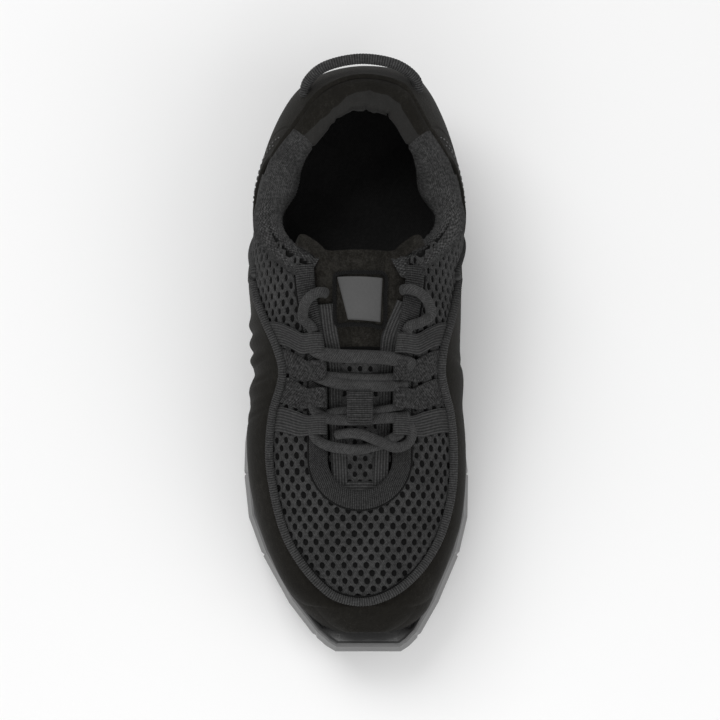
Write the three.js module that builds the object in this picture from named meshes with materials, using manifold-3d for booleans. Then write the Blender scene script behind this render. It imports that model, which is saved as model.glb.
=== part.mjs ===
// A right dance sneaker with a split sole: mesh upper, suede mudguard and heel counter, webbing lace straps.
// Millimetres, +Z up. The toe points along -Y, the wearer's left (medial side of a right foot) is +X.
import * as THREE from "three";
import { mergeVertices } from "three/addons/utils/BufferGeometryUtils.js";
import Module from "manifold-3d";

const wasm = await Module();
wasm.setup();

// Driving dimensions of the last and the upper
const LAST_LENGTH = 253;
const BALL_WIDTH = 95.5;
const INSTEP_RISE = 70; // closed form above the seat, where the tongue leaves the throat
const BALL_SEAT = 14; // height of the upper's underside at the ball
const HEEL_LIFT = 12; // how much higher the heel seat is than the ball seat
const TOE_SPRING = 7;
const TOE_Y = -125; // front of the upper
const along = (share) => TOE_Y + share * LAST_LENGTH; // place along the shoe of a share of its length
const WALL = 2.4; // upper wall: mesh, foam and lining
const GAP = 0.3; // clearance between pieces that touch
const HEEL_CURVE = 21; // how far the back of the heel leans in, from its widest height to the closed top
const HEEL_TUCK = 5; // the same, from its widest height down to the seat

// Overlays and soft parts
const SUEDE = 1.5;
const WEBBING = 1.2;
const PIPING_DIAMETER = 3.6;
const PAD_THICKNESS = 10; // padded collar at its fullest
const PAD_DEPTH = 34;
const PAD_ROLL = 2.2; // how far the padded collar rises above the upper's edge
const TONGUE_THICKNESS = 5;
const INSOLE_THICKNESS = 4;
const LASTING_MARGIN = 12; // turned-in edge of the upper around its open underside

// Openings
const THROAT_HALF_WIDTH = 15.3;
const THROAT_TOP_HALF_WIDTH = 21;
const THROAT_START = along(0.2411);
const THROAT_ROUND = 15; // depth of the round end
const THROAT_WIDENS = along(0.4387);
const THROAT_END = along(0.6245);
const TONGUE_START = along(0.2174);
const TONGUE_END = along(0.6759);
const PATCH_SIDE = 23;
const PATCH_THICKNESS = 1.2;
const PATCH_LIFT = 0.75; // clearance over the tongue
const PATCH_Y = along(0.5632);

// Soles
const SOLE_WIDTH = 103;
const TOE_BUMPER = 8.5; // how far the sole stands in front of the upper
const TOE_TIP_Y = TOE_Y - TOE_BUMPER;
const RIM_INSET = 2.6; // how far the sole's top rim stands inside its widest line
const BEVEL_INSET = 4.5; // the tread's edge inside the widest line
const BEVEL_HEIGHT = 4;
const BEVEL_TOP_INSET = 1.2; // top of the bevel inside the widest line
const WIDEST = 0.6; // height of the widest line as a share of the sole's height
const GROOVE_WIDTH = 2.6;
const GROOVE_DEPTH = 2;
const PIVOT_RADIUS = 21; // smooth turning spot under the ball

// Laces
const LACE_WIDTH = 4.6;
const LACE_THICKNESS = 2.6;
const STRAP_COUNT = 4;
const STRAP_PITCH = 11.6;
const STRAP_GAP = 1;
const FIRST_STRAP_Y = along(0.5138); // heel-side edge of the top strap, at the throat
const STRAP_SWEEP = 6; // how much nearer the heel a strap's outer end lies
const EYE_CLEARANCE = 0.5;
const BRIDGE_LENGTH = LACE_WIDTH + 10.4; // the tongue's lace loop
const BRIDGE_WIDTH = 11.3;
const BRIDGE_HEIGHT = 9;
const BRIDGE_Y = FIRST_STRAP_Y - 2.845 * STRAP_PITCH;
const BRIDGE_LEAN = 1.4; // how far its sides lean in up to the shoulder
const BRIDGE_ROUND = 3.4; // and up to its flat top
const BRIDGE_SHOULDER = 0.7; // height of the shoulder as a share of the bridge's height
const PULL_LOOP_DIAMETER = 4.7;

// Pull loop: across is a share of BALL_WIDTH, back a distance behind the last, rise above the heel's collar.
const PULL_LOOP = [
  { across: -0.262, back: -18, rise: -9.5 },
  { across: -0.241, back: -11, rise: -5.5 },
  { across: -0.157, back: -5.4, rise: -0.5 },
  { across: 0.0, back: -2.6, rise: 1.5 },
  { across: 0.157, back: -4.6, rise: 0.5 },
  { across: 0.251, back: -9.6, rise: -4.5 },
  { across: 0.277, back: -16, rise: -8.5 },
];

// Sections of the last. Widths are shares of BALL_WIDTH from the centre plane, heights above the seat are
// shares of INSTEP_RISE, spring and lift are shares of TOE_SPRING and HEEL_LIFT, at is a share of LAST_LENGTH.
const SECTIONS = [
  { at: 0.0, lateral: -0.024, medial: 0.024, waist: 0.064, top: 0.143, spring: 1.0, lift: 0.0 },
  { at: 0.012, lateral: 0.142, medial: 0.199, waist: 0.093, top: 0.243, spring: 0.79, lift: 0.0 },
  { at: 0.04, lateral: 0.245, medial: 0.302, waist: 0.124, top: 0.353, spring: 0.54, lift: 0.0 },
  { at: 0.08, lateral: 0.335, medial: 0.353, waist: 0.153, top: 0.446, spring: 0.33, lift: 0.0 },
  { at: 0.14, lateral: 0.41, medial: 0.412, waist: 0.179, top: 0.529, spring: 0.14, lift: 0.0 },
  { at: 0.2, lateral: 0.465, medial: 0.46, waist: 0.196, top: 0.589, spring: 0.04, lift: 0.0 },
  { at: 0.27, lateral: 0.505, medial: 0.481, waist: 0.214, top: 0.664, spring: 0.0, lift: 0.0 },
  { at: 0.35, lateral: 0.518, medial: 0.479, waist: 0.236, top: 0.764, spring: 0.0, lift: 0.04 },
  { at: 0.43, lateral: 0.496, medial: 0.457, waist: 0.262, top: 0.857, spring: 0.0, lift: 0.25 },
  { at: 0.5, lateral: 0.479, medial: 0.45, waist: 0.286, top: 0.921, spring: 0.0, lift: 0.54 },
  { at: 0.57, lateral: 0.495, medial: 0.457, waist: 0.314, top: 0.993, spring: 0.0, lift: 0.75 },
  { at: 0.64, lateral: 0.513, medial: 0.468, waist: 0.336, top: 1.045, spring: 0.0, lift: 0.875 },
  { at: 0.71, lateral: 0.497, medial: 0.487, waist: 0.35, top: 1.071, spring: 0.0, lift: 0.96 },
  { at: 0.78, lateral: 0.48, medial: 0.472, waist: 0.343, top: 1.079, spring: 0.0, lift: 1.0 },
  { at: 0.85, lateral: 0.434, medial: 0.432, waist: 0.343, top: 1.086, spring: 0.0, lift: 1.0 },
  { at: 0.91, lateral: 0.369, medial: 0.382, waist: 0.336, top: 1.1, spring: 0.0, lift: 1.0 },
  { at: 0.96, lateral: 0.281, medial: 0.314, waist: 0.321, top: 1.107, spring: 0.0, lift: 1.04 },
  { at: 0.985, lateral: 0.183, medial: 0.243, waist: 0.314, top: 1.107, spring: 0.0, lift: 1.08 },
  { at: 1.0, lateral: -0.02, medial: 0.02, waist: 0.307, top: 1.107, spring: 0.0, lift: 1.12 },
];
const UPPER_POWER = 2.3; // fullness of the section above its widest height
const LOWER_POWER = 2.6; // and below it

// Collar edge seen from the side: at is a share of LAST_LENGTH, height of INSTEP_RISE above the heel seat.
const COLLAR = [
  { at: 0.6, height: 1.045 },
  { at: 0.624, height: 0.985 },
  { at: 0.664, height: 0.893 },
  { at: 0.704, height: 0.786 },
  { at: 0.743, height: 0.714 },
  { at: 0.783, height: 0.686 },
  { at: 0.822, height: 0.714 },
  { at: 0.862, height: 0.8 },
  { at: 0.901, height: 0.871 },
  { at: 0.941, height: 0.907 },
  { at: 1.0, height: 0.921 },
  { at: 1.06, height: 0.921 },
];

// Piping line seen from above: at is a share of LAST_LENGTH, widths are shares of BALL_WIDTH.
const PIPING = [
  { at: 0.051, lateral: -0.005, medial: 0.005 },
  { at: 0.06, lateral: 0.112, medial: 0.115 },
  { at: 0.08, lateral: 0.185, medial: 0.205 },
  { at: 0.12, lateral: 0.276, medial: 0.306 },
  { at: 0.17, lateral: 0.35, medial: 0.38 },
  { at: 0.24, lateral: 0.402, medial: 0.43 },
  { at: 0.31, lateral: 0.425, medial: 0.441 },
  { at: 0.38, lateral: 0.408, medial: 0.425 },
  { at: 0.445, lateral: 0.36, medial: 0.382 },
  { at: 0.49, lateral: 0.385, medial: 0.389 },
  { at: 0.54, lateral: 0.442, medial: 0.424 },
  { at: 0.58, lateral: 0.482, medial: 0.448 },
  { at: 0.62, lateral: 0.504, medial: 0.462 },
];
const PIPING_END = 0.72; // share of LAST_LENGTH where the piping runs out under the heel counter
const PIPING_DROP = 9; // how far it falls below the widest height by then

// Heel counter's front edge seen from the side: rise is a share of INSTEP_RISE above the heel seat.
const COUNTER = [
  { at: 0.668, rise: 0.086 },
  { at: 0.739, rise: 0.371 },
  { at: 0.834, rise: 0.614 },
  { at: 0.85, rise: 1.21 },
];

// Outline of each sole unit seen from above: at runs from its toe end to its heel end,
// widths are shares of SOLE_WIDTH.
// bottom and rim are heights in shares of BALL_SEAT for the forefoot unit and of the heel seat for the heel unit.
const FOREFOOT = { from: TOE_TIP_Y, to: along(0.4545) };
const FOREFOOT_OUTLINE = [
  { at: 0.0, lateral: 0.108, medial: 0.18, bottom: 0.72, rim: 2.2 },
  { at: 0.03, lateral: 0.165, medial: 0.232, bottom: 0.5, rim: 2.12 },
  { at: 0.1, lateral: 0.248, medial: 0.298, bottom: 0.22, rim: 1.97 },
  { at: 0.2, lateral: 0.33, medial: 0.358, bottom: 0.04, rim: 1.84 },
  { at: 0.3, lateral: 0.4, medial: 0.415, bottom: 0.0, rim: 1.74 },
  { at: 0.42, lateral: 0.465, medial: 0.46, bottom: 0.0, rim: 1.66 },
  { at: 0.54, lateral: 0.508, medial: 0.486, bottom: 0.0, rim: 1.62 },
  { at: 0.66, lateral: 0.518, medial: 0.484, bottom: 0.0, rim: 1.64 },
  { at: 0.78, lateral: 0.514, medial: 0.466, bottom: 0.0, rim: 1.72 },
  { at: 0.88, lateral: 0.496, medial: 0.43, bottom: 0.3, rim: 1.82 },
  { at: 0.96, lateral: 0.452, medial: 0.375, bottom: 0.9, rim: 1.86 },
  { at: 1.0, lateral: 0.41, medial: 0.335, bottom: 1.4, rim: 1.84 },
];
const HEEL = { from: along(0.6047), to: along(0.9941) };
const HEEL_OUTLINE = [
  { at: 0.0, lateral: 0.3, medial: 0.27, bottom: 0.55, rim: 1.2 },
  { at: 0.07, lateral: 0.345, medial: 0.31, bottom: 0.25, rim: 1.22 },
  { at: 0.16, lateral: 0.37, medial: 0.342, bottom: 0.0, rim: 1.22 },
  { at: 0.35, lateral: 0.378, medial: 0.366, bottom: 0.0, rim: 1.2 },
  { at: 0.55, lateral: 0.372, medial: 0.37, bottom: 0.0, rim: 1.2 },
  { at: 0.72, lateral: 0.342, medial: 0.35, bottom: 0.0, rim: 1.21 },
  { at: 0.84, lateral: 0.286, medial: 0.305, bottom: 0.02, rim: 1.23 },
  { at: 0.93, lateral: 0.2, medial: 0.232, bottom: 0.12, rim: 1.26 },
  { at: 1.0, lateral: 0.075, medial: 0.115, bottom: 0.26, rim: 1.3 },
];

// Mesh resolution
const STATIONS = 26;
const AROUND = 22;
const FAR = 400; // larger than the shoe, for cutters

// A smooth curve through table rows, as a function of the at column.
function curve(rows, column, x = (at) => at) {
  const xs = rows.map((row) => x(row.at));
  const ys = rows.map((row) => row[column]);
  const slopes = ys.map((_, i) => {
    const a = Math.max(i - 1, 0);
    const b = Math.min(i + 1, ys.length - 1);
    return (ys[b] - ys[a]) / (xs[b] - xs[a]);
  });
  return (at) => {
    const v = Math.min(Math.max(x(at), xs[0]), xs[xs.length - 1]);
    let i = 0;
    while (i < xs.length - 2 && v > xs[i + 1]) i++;
    const h = xs[i + 1] - xs[i];
    const t = (v - xs[i]) / h;
    const t2 = t * t;
    const t3 = t2 * t;
    return (
      ys[i] * (2 * t3 - 3 * t2 + 1) +
      ys[i + 1] * (3 * t2 - 2 * t3) +
      h * slopes[i] * (t3 - 2 * t2 + t) +
      h * slopes[i + 1] * (t3 - t2)
    );
  };
}

// Angle along the last, 0 at the toe and PI at the heel, in which a rounded end grows evenly.
const endAngle = (at) => Math.acos(1 - 2 * Math.min(Math.max(at, 0), 1));
const last = {};
for (const column of ["lateral", "medial", "waist", "top", "spring", "lift"])
  last[column] = curve(SECTIONS, column, endAngle);

// Sizes of the last at a share of its length, grown outwards by offset.
function section(at, offset) {
  const reach = offset * Math.sin(endAngle(at));
  const seat = BALL_SEAT + TOE_SPRING * last.spring(at) + HEEL_LIFT * last.lift(at);
  const lateral = BALL_WIDTH * last.lateral(at) + reach;
  const medial = BALL_WIDTH * last.medial(at) + reach;
  return {
    y: TOE_Y - offset + at * (LAST_LENGTH + 2 * offset),
    centre: (medial - lateral) / 2,
    half: Math.max((medial + lateral) / 2, 0),
    seat: seat - offset,
    waist: seat + INSTEP_RISE * last.waist(at),
    top: seat + INSTEP_RISE * last.top(at) + offset,
  };
}

const smooth = (t) => {
  const c = Math.min(Math.max(t, 0), 1);
  return c * c * (3 - 2 * c);
};
const HEEL_START = 0.7; // share of the length where the heel's lean begins
const heelLean = (at, rise) =>
  -smooth((at - HEEL_START) / (1 - HEEL_START)) * (rise > 0 ? HEEL_CURVE : HEEL_TUCK) * rise * rise;

// Point of the section at an angle: 0 is the medial side, PI / 2 the top, PI the lateral side.
function lastPoint(at, angle, offset) {
  const s = section(at, offset);
  const c = Math.cos(angle);
  const d = Math.sin(angle);
  const power = 2 / (d > 0 ? UPPER_POWER : LOWER_POWER);
  const rise = Math.sign(d) * Math.abs(d) ** power;
  const x = s.centre + s.half * Math.sign(c) * Math.abs(c) ** power;
  const z = s.waist + rise * (rise > 0 ? s.top - s.waist : s.waist - s.seat);
  return new THREE.Vector3(x, s.y + heelLean(at, rise), z);
}

// Point of the wall at a height, on one side: side is 1 for medial and -1 for lateral.
function wallPoint(at, side, z, offset) {
  const s = section(at, offset);
  const up = z > s.waist;
  const rise = Math.min(up ? (z - s.waist) / (s.top - s.waist) : (s.waist - z) / (s.waist - s.seat), 1);
  const power = up ? UPPER_POWER : LOWER_POWER;
  const reach = (1 - rise ** power) ** (1 / power);
  return new THREE.Vector3(s.centre + side * s.half * reach, s.y + heelLean(at, up ? rise : -rise), z);
}

// Point of the upper face above a place in plan.
function topPoint(at, x, offset) {
  const s = section(at, offset);
  const out = Math.min(Math.abs(x - s.centre) / s.half, 1);
  const rise = (1 - out ** UPPER_POWER) ** (1 / UPPER_POWER);
  return new THREE.Vector3(x, s.y + heelLean(at, rise), s.waist + rise * (s.top - s.waist));
}

const shareOf = (y, offset = 0) => (y - TOE_Y + offset) / (LAST_LENGTH + 2 * offset);

// Solids and geometry
function solidOf(geometry) {
  const bare = new THREE.BufferGeometry();
  bare.setAttribute("position", geometry.getAttribute("position"));
  if (geometry.index) bare.setIndex(geometry.index);
  const merged = mergeVertices(bare, 1e-4);
  const build = (indices) =>
    new wasm.Manifold(
      new wasm.Mesh({
        numProp: 3,
        vertProperties: new Float32Array(merged.attributes.position.array),
        triVerts: new Uint32Array(indices),
      }),
    );
  const indices = Array.from(merged.index.array);
  const made = build(indices);
  if (made.volume() > 0) return made;
  for (let i = 0; i < indices.length; i += 3)
    [indices[i + 1], indices[i + 2]] = [indices[i + 2], indices[i + 1]];
  return build(indices);
}

function geometryOf(solid) {
  const mesh = solid.getMesh();
  const positions = new Float32Array(mesh.numVert * 3);
  for (let i = 0; i < mesh.numVert; i++)
    positions.set(mesh.vertProperties.subarray(i * mesh.numProp, i * mesh.numProp + 3), i * 3);
  const geometry = new THREE.BufferGeometry();
  geometry.setAttribute("position", new THREE.BufferAttribute(positions, 3));
  geometry.setIndex(new THREE.BufferAttribute(mesh.triVerts, 1));
  geometry.computeVertexNormals();
  return geometry;
}

// Skin over closed rings of points, with a flat cap on both ends.
function loft(rings) {
  const positions = rings.flat().flatMap((p) => [p.x, p.y, p.z]);
  const n = rings[0].length;
  const index = [];
  for (let i = 0; i < rings.length - 1; i++)
    for (let j = 0; j < n; j++) {
      const k = (j + 1) % n;
      const a = i * n + j;
      const b = i * n + k;
      const c = (i + 1) * n + k;
      const d = (i + 1) * n + j;
      index.push(a, b, c, a, c, d);
    }
  for (const i of [0, rings.length - 1]) {
    const middle = rings[i].reduce((sum, p) => sum.add(p), new THREE.Vector3()).divideScalar(n);
    const m = positions.length / 3;
    positions.push(middle.x, middle.y, middle.z);
    for (let j = 0; j < n; j++) {
      const a = i * n + j;
      const b = i * n + ((j + 1) % n);
      if (i === 0) index.push(m, b, a);
      else index.push(m, a, b);
    }
  }
  const geometry = new THREE.BufferGeometry();
  geometry.setAttribute("position", new THREE.Float32BufferAttribute(positions, 3));
  geometry.setIndex(index);
  return solidOf(geometry);
}

// The whole last, closed, grown outwards by offset. Its toe and heel ends close to an upright edge.
const forms = new Map();
function form(offset) {
  if (forms.has(offset)) return forms.get(offset);
  const positions = [];
  const index = [];
  for (let i = 0; i <= STATIONS; i++) {
    const at = (1 - Math.cos((Math.PI * i) / STATIONS)) / 2;
    for (let j = 0; j < AROUND; j++) {
      const p = lastPoint(at, (2 * Math.PI * j) / AROUND, offset);
      if (i === 0 || i === STATIONS) p.x = section(at, offset).centre;
      positions.push(p.x, p.y, p.z);
    }
  }
  for (let i = 0; i < STATIONS; i++)
    for (let j = 0; j < AROUND; j++) {
      const k = (j + 1) % AROUND;
      const a = i * AROUND + j;
      const b = i * AROUND + k;
      const c = (i + 1) * AROUND + k;
      const d = (i + 1) * AROUND + j;
      if (i > 0) index.push(a, b, c);
      if (i > 0 && i < STATIONS - 1) index.push(a, c, d);
      if (i === 0) index.push(a, c, d);
      if (i === 0) index.push(a, b, c);
      if (i === STATIONS - 1) index.push(a, c, d);
    }
  const geometry = new THREE.BufferGeometry();
  geometry.setAttribute("position", new THREE.Float32BufferAttribute(positions, 3));
  geometry.setIndex(index);
  const made = solidOf(geometry);
  forms.set(offset, made);
  return made;
}

// Upright prism over a plan outline of [x, y] points.
function planPrism(points, low = -FAR, high = FAR) {
  const geometry = new THREE.ExtrudeGeometry(new THREE.Shape(points.map(([x, y]) => new THREE.Vector2(x, y))), {
    depth: high - low,
    bevelEnabled: false,
  });
  geometry.translate(0, 0, low);
  return solidOf(geometry);
}

// Prism across the shoe over a side outline of [y, z] points.
function sidePrism(points) {
  const geometry = new THREE.ExtrudeGeometry(new THREE.Shape(points.map(([y, z]) => new THREE.Vector2(y, z))), {
    depth: 2 * FAR,
    bevelEnabled: false,
  });
  geometry.translate(0, 0, -FAR);
  geometry.applyMatrix4(new THREE.Matrix4().set(0, 0, 1, 0, 1, 0, 0, 0, 0, 1, 0, 0, 0, 0, 0, 1));
  return solidOf(geometry);
}

// Collar edge height at a place along the shoe.
const HEEL_SEAT = BALL_SEAT + HEEL_LIFT;
const collarShare = curve(COLLAR, "height");
const collarHeight = (y) => HEEL_SEAT + INSTEP_RISE * collarShare(shareOf(y));

function aboveCollar(raise = 0) {
  const first = along(COLLAR[0].at);
  const final = along(COLLAR[COLLAR.length - 1].at);
  const steps = 22;
  const outline = [];
  for (let i = 0; i <= steps; i++) {
    const y = first + ((final - first) * i) / steps;
    outline.push([y, collarHeight(y) + raise]);
  }
  return sidePrism([...outline, [final, FAR], [first, FAR]]);
}

// Half the throat's width at a place along the shoe.
const throatHalf = (y) => {
  const open = smooth((y - THROAT_WIDENS) / (THROAT_END - THROAT_WIDENS));
  return THROAT_HALF_WIDTH + (THROAT_TOP_HALF_WIDTH - THROAT_HALF_WIDTH) * open;
};

// Plan outline of the throat: a U that opens into the collar.
function throatOutline() {
  const steps = 8;
  const arc = [];
  for (let i = 0; i <= steps; i++) {
    const a = (Math.PI * i) / steps;
    arc.push([-THROAT_HALF_WIDTH * Math.cos(a), THROAT_START + THROAT_ROUND - THROAT_ROUND * Math.sin(a)]);
  }
  const overrun = 2; // runs on well into the collar, in shares of the widening part
  const side = [0, 0.25, 0.5, 0.75, 1, overrun].map((share) => {
    const y = THROAT_WIDENS + (THROAT_END - THROAT_WIDENS) * share;
    return [throatHalf(y), y];
  });
  return [...arc, ...side, ...side.map(([x, y]) => [-x, y]).reverse()];
}

// Open underside of the upper where a sole unit closes it, drawn in from the last's widest line.
function undersideOutline(unit, inset) {
  const from = Math.max(unit.from, TOE_Y) + inset;
  const to = Math.min(unit.to, TOE_Y + LAST_LENGTH) - inset;
  const steps = 14;
  const blunt = 0.6; // steps by which the rounded ends run past the outline, so that they stay open
  const roundness = 0.4;
  const lateral = [];
  const medial = [];
  for (let i = 0; i <= steps; i++) {
    const y = from + ((to - from) * (1 - Math.cos((Math.PI * i) / steps))) / 2;
    const s = section(shareOf(y), 0);
    const round = Math.sin((Math.PI * (i + blunt)) / (steps + 2 * blunt)) ** roundness;
    const half = (s.half - inset) * Math.min(1, round);
    lateral.push([s.centre - half, y]);
    medial.push([s.centre + half, y]);
  }
  return [...lateral, ...medial.reverse()];
}

// Sole units
function outlinePoint(unit, rows, at, side, inset) {
  const width = curve(rows, side < 0 ? "lateral" : "medial");
  const step = 0.004;
  const y = unit.from + (unit.to - unit.from) * at;
  const x = SOLE_WIDTH * width(at);
  const a = Math.max(at - step, 0);
  const b = Math.min(at + step, 1);
  const tangent = new THREE.Vector2(SOLE_WIDTH * (width(b) - width(a)), (unit.to - unit.from) * (b - a));
  tangent.normalize();
  const normal = new THREE.Vector2(tangent.y, -tangent.x);
  if (at === 0) normal.add(new THREE.Vector2(0, -1)).normalize();
  if (at === 1) normal.add(new THREE.Vector2(0, 1)).normalize();
  return [side * (x - inset * normal.x), y - inset * normal.y];
}

function soleBlank(unit, rows, seat) {
  const bottom = curve(rows, "bottom");
  const rim = curve(rows, "rim");
  const between = (row, i) => (i === 0 ? [row.at] : [(row.at + rows[i - 1].at) / 2, row.at]);
  const stations = rows.flatMap(between);
  const rings = stations.map((at) => {
    const low = seat * Math.max(bottom(at), 0);
    const high = seat * rim(at);
    const profile = [
      [BEVEL_INSET, low],
      [BEVEL_TOP_INSET, low + Math.min(BEVEL_HEIGHT, (high - low) / 3)],
      [0, low + (high - low) * WIDEST],
      [RIM_INSET, high],
    ];
    const half = (side) =>
      profile.map(([inset, z]) => {
        const [x, y] = outlinePoint(unit, rows, at, side, inset);
        return new THREE.Vector3(x, y, z);
      });
    return [...half(-1), ...half(1).reverse()];
  });
  return loft(rings);
}

// Tread: cross grooves, and a ring groove around the turning spot.
function crossGrooves({ turn, at }) {
  return at.map((share) => {
    const cut = new THREE.BoxGeometry(FAR, GROOVE_WIDTH, 2 * GROOVE_DEPTH);
    cut.rotateZ(turn);
    cut.translate(0, along(share), 0);
    return solidOf(cut);
  });
}

function ringGroove(spot, inner) {
  const outer = inner + GROOVE_WIDTH;
  const profile = [
    [inner, -GROOVE_DEPTH],
    [outer, -GROOVE_DEPTH],
    [outer, GROOVE_DEPTH],
    [inner, GROOVE_DEPTH],
    [inner, -GROOVE_DEPTH],
  ].map(([r, h]) => new THREE.Vector2(r, h));
  const ring = new THREE.LatheGeometry(profile, 20);
  ring.rotateX(Math.PI / 2);
  ring.translate(spot.x, spot.y, 0);
  return solidOf(ring);
}

function disc(spot, radius) {
  const geometry = new THREE.CylinderGeometry(radius, radius, 4 * GROOVE_DEPTH, 20);
  geometry.rotateX(Math.PI / 2);
  geometry.translate(spot.x, spot.y, 0);
  return solidOf(geometry);
}

// A sole unit is cut to the upper and its suede, and rises inside the lasting margin to carry the insole.
function soleUnit(unit, rows, seat, grooves) {
  const blank = soleBlank(unit, rows, seat);
  const rim = blank.subtract(form(SUEDE + 2 * GAP));
  const plug = blank.intersect(planPrism(undersideOutline(unit, LASTING_MARGIN + GAP))).subtract(form(-WALL));
  return grooves.reduce((sole, cut) => sole.subtract(cut), rim.add(plug));
}

const BALL_SPOT = { x: -2, y: along(0.2095) };
const FOREFOOT_GROOVES = { turn: 0.08, at: [0.083, 0.1304, 0.2885, 0.336] };
const HEEL_GROOVES = { turn: -0.05, at: [0.7075, 0.7628, 0.8735, 0.9289] };

function forefootSole() {
  const spot = disc(BALL_SPOT, PIVOT_RADIUS + GROOVE_WIDTH / 2);
  const cuts = crossGrooves(FOREFOOT_GROOVES).map((cut) => cut.subtract(spot));
  return soleUnit(FOREFOOT, FOREFOOT_OUTLINE, BALL_SEAT, [...cuts, ringGroove(BALL_SPOT, PIVOT_RADIUS)]);
}

const heelSole = () => soleUnit(HEEL, HEEL_OUTLINE, HEEL_SEAT, crossGrooves(HEEL_GROOVES));

// The upper: one wall between two forms, open at the collar and throat, and underneath above each sole unit.
const UNDER_FOREFOOT = BALL_SEAT + INSTEP_RISE / 5; // above the underside and below the top, at every section
const UNDER_HEEL = HEEL_SEAT + INSTEP_RISE / 4;
const openUnder = (inset) =>
  planPrism(undersideOutline(FOREFOOT, inset), -FAR, UNDER_FOREFOOT).add(
    planPrism(undersideOutline(HEEL, inset), -FAR, UNDER_HEEL),
  );

function upper() {
  return form(0)
    .subtract(form(-WALL))
    .subtract(aboveCollar())
    .subtract(planPrism(throatOutline(), BALL_SEAT + INSTEP_RISE / 3))
    .subtract(openUnder(LASTING_MARGIN));
}

// The footbed fills the bottom of the upper to one thickness.
function insole() {
  const inset = -(WALL + GAP);
  const steps = 11;
  const outline = [];
  for (let i = 0; i <= steps; i++) {
    const s = section(i / steps, inset);
    outline.push([s.y, s.seat + INSOLE_THICKNESS]);
  }
  const [first, final] = [outline[0][0], outline[steps][0]];
  const corners = [
    [first - 1, -FAR],
    [final + 1, -FAR],
    [final + 1, outline[steps][1]],
  ];
  return form(inset).intersect(sidePrism([...corners, ...outline.reverse()]));
}

// Piping line: side is 1 for medial and -1 for lateral, and share runs from 0 at the toe to 1 at the heel counter.
const PIPING_TABLE_RUN = 0.8; // part of the line that the table gives, before it falls along the flank
const PIPING_START = PIPING[0].at;
const PIPING_FLANK = PIPING[PIPING.length - 1].at;
const toeRound = (at) => Math.sqrt(Math.max(at - PIPING_START, 0));
const pipingWidth = {
  "-1": curve(PIPING, "lateral", toeRound),
  1: curve(PIPING, "medial", toeRound),
};
const pipingX = (y, side) => side * BALL_WIDTH * pipingWidth[side](shareOf(y));

function pipingPoint(side, share, offset) {
  const run = PIPING_TABLE_RUN;
  const table = (s) => PIPING_START + (PIPING_FLANK - PIPING_START) * s * s;
  if (share <= run) {
    const y = along(table(share / run));
    return topPoint(shareOf(y, offset), pipingX(y, side), offset);
  }
  const fall = (share - run) / (1 - run);
  const at = PIPING_FLANK + (PIPING_END - PIPING_FLANK) * fall;
  const high = pipingPoint(side, run, offset).z - section(PIPING_FLANK, 0).waist;
  const z = section(at, 0).waist + high + (-PIPING_DROP - high) * smooth(fall);
  return wallPoint(at, side, z, offset);
}

function pipingPath(offset) {
  const steps = 16;
  const points = [];
  for (let i = -steps; i <= steps; i++) {
    if (i === 0) continue;
    points.push(pipingPoint(Math.sign(i), Math.abs(i) / steps, offset));
  }
  return points;
}

// Tube or flat cord along a route, its thickness upright.
const UP = new THREE.Vector3(0, 0, 1);
function sweep(points, half, thick, sides) {
  const rings = points.map((p, i) => {
    const before = points[Math.max(i - 1, 0)];
    const after = points[Math.min(i + 1, points.length - 1)];
    const ahead = after.clone().sub(before).normalize();
    const raise = UP.clone().addScaledVector(ahead, -ahead.z).normalize();
    const across = ahead.clone().cross(raise);
    return Array.from({ length: sides }, (_, j) => {
      const a = (2 * Math.PI * (j + 0.5)) / sides;
      return p
        .clone()
        .addScaledVector(across, half * Math.cos(a))
        .addScaledVector(raise, thick * Math.sin(a));
    });
  });
  return loft(rings);
}

const PIPING_OFFSET = GAP + PIPING_DIAMETER / 2;
const pipingTube = (radius) => sweep(pipingPath(PIPING_OFFSET), radius, radius, 7);
const piping = () => pipingTube(PIPING_DIAMETER / 2).subtract(form(GAP)).subtract(counterRegion(GAP));

// Region of the heel counter seen from the side, grown by a clearance.
function counterRegion(grow = 0) {
  const front = COUNTER.map((row) => [along(row.at) - grow, HEEL_SEAT + INSTEP_RISE * row.rise]);
  const foot = [front[0][0], -FAR];
  const top = front[front.length - 1][1];
  return sidePrism([foot, [FAR, -FAR], [FAR, top], ...front.reverse()]);
}

const suedeShell = () => form(GAP + SUEDE).subtract(form(GAP));

function heelCounter() {
  return suedeShell()
    .intersect(counterRegion())
    .subtract(aboveCollar(-SUEDE))
    .subtract(openUnder(LASTING_MARGIN / 2));
}

// A line under the piping in plan, a little to its outer side.
function pipingFoot(y, side) {
  const outer = section(shareOf(y, PIPING_OFFSET), PIPING_OFFSET);
  const inner = section(shareOf(y), 0);
  const foot = inner.centre + ((pipingX(y, side) - outer.centre) * inner.half) / outer.half;
  return [foot + 0.6 * (pipingX(y, side) - foot), y];
}

// Everything above a line just under the piping's middle, along one flank.
function aboveFlank(side) {
  const steps = 4;
  const line = [];
  for (let i = 0; i <= steps; i++) {
    const p = pipingPoint(side, PIPING_TABLE_RUN + ((1 - PIPING_TABLE_RUN) * i) / steps, PIPING_OFFSET);
    line.push([p.y, p.z - PIPING_DIAMETER / 6]);
  }
  const final = line[steps];
  const above = sidePrism([...line, [FAR, final[1]], [FAR, FAR], [line[0][0], FAR]]);
  const half = [
    [0, -FAR],
    [side * FAR, -FAR],
    [side * FAR, FAR],
    [0, FAR],
  ];
  return above.intersect(planPrism(side > 0 ? half : half.reverse()));
}

// The panel that a cut leaves, without the slivers that fall off beside it.
function largest(solid) {
  const bodies = solid.decompose();
  return bodies.length > 1 ? bodies.reduce((a, b) => (a.volume() > b.volume() ? a : b)) : solid;
}

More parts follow.
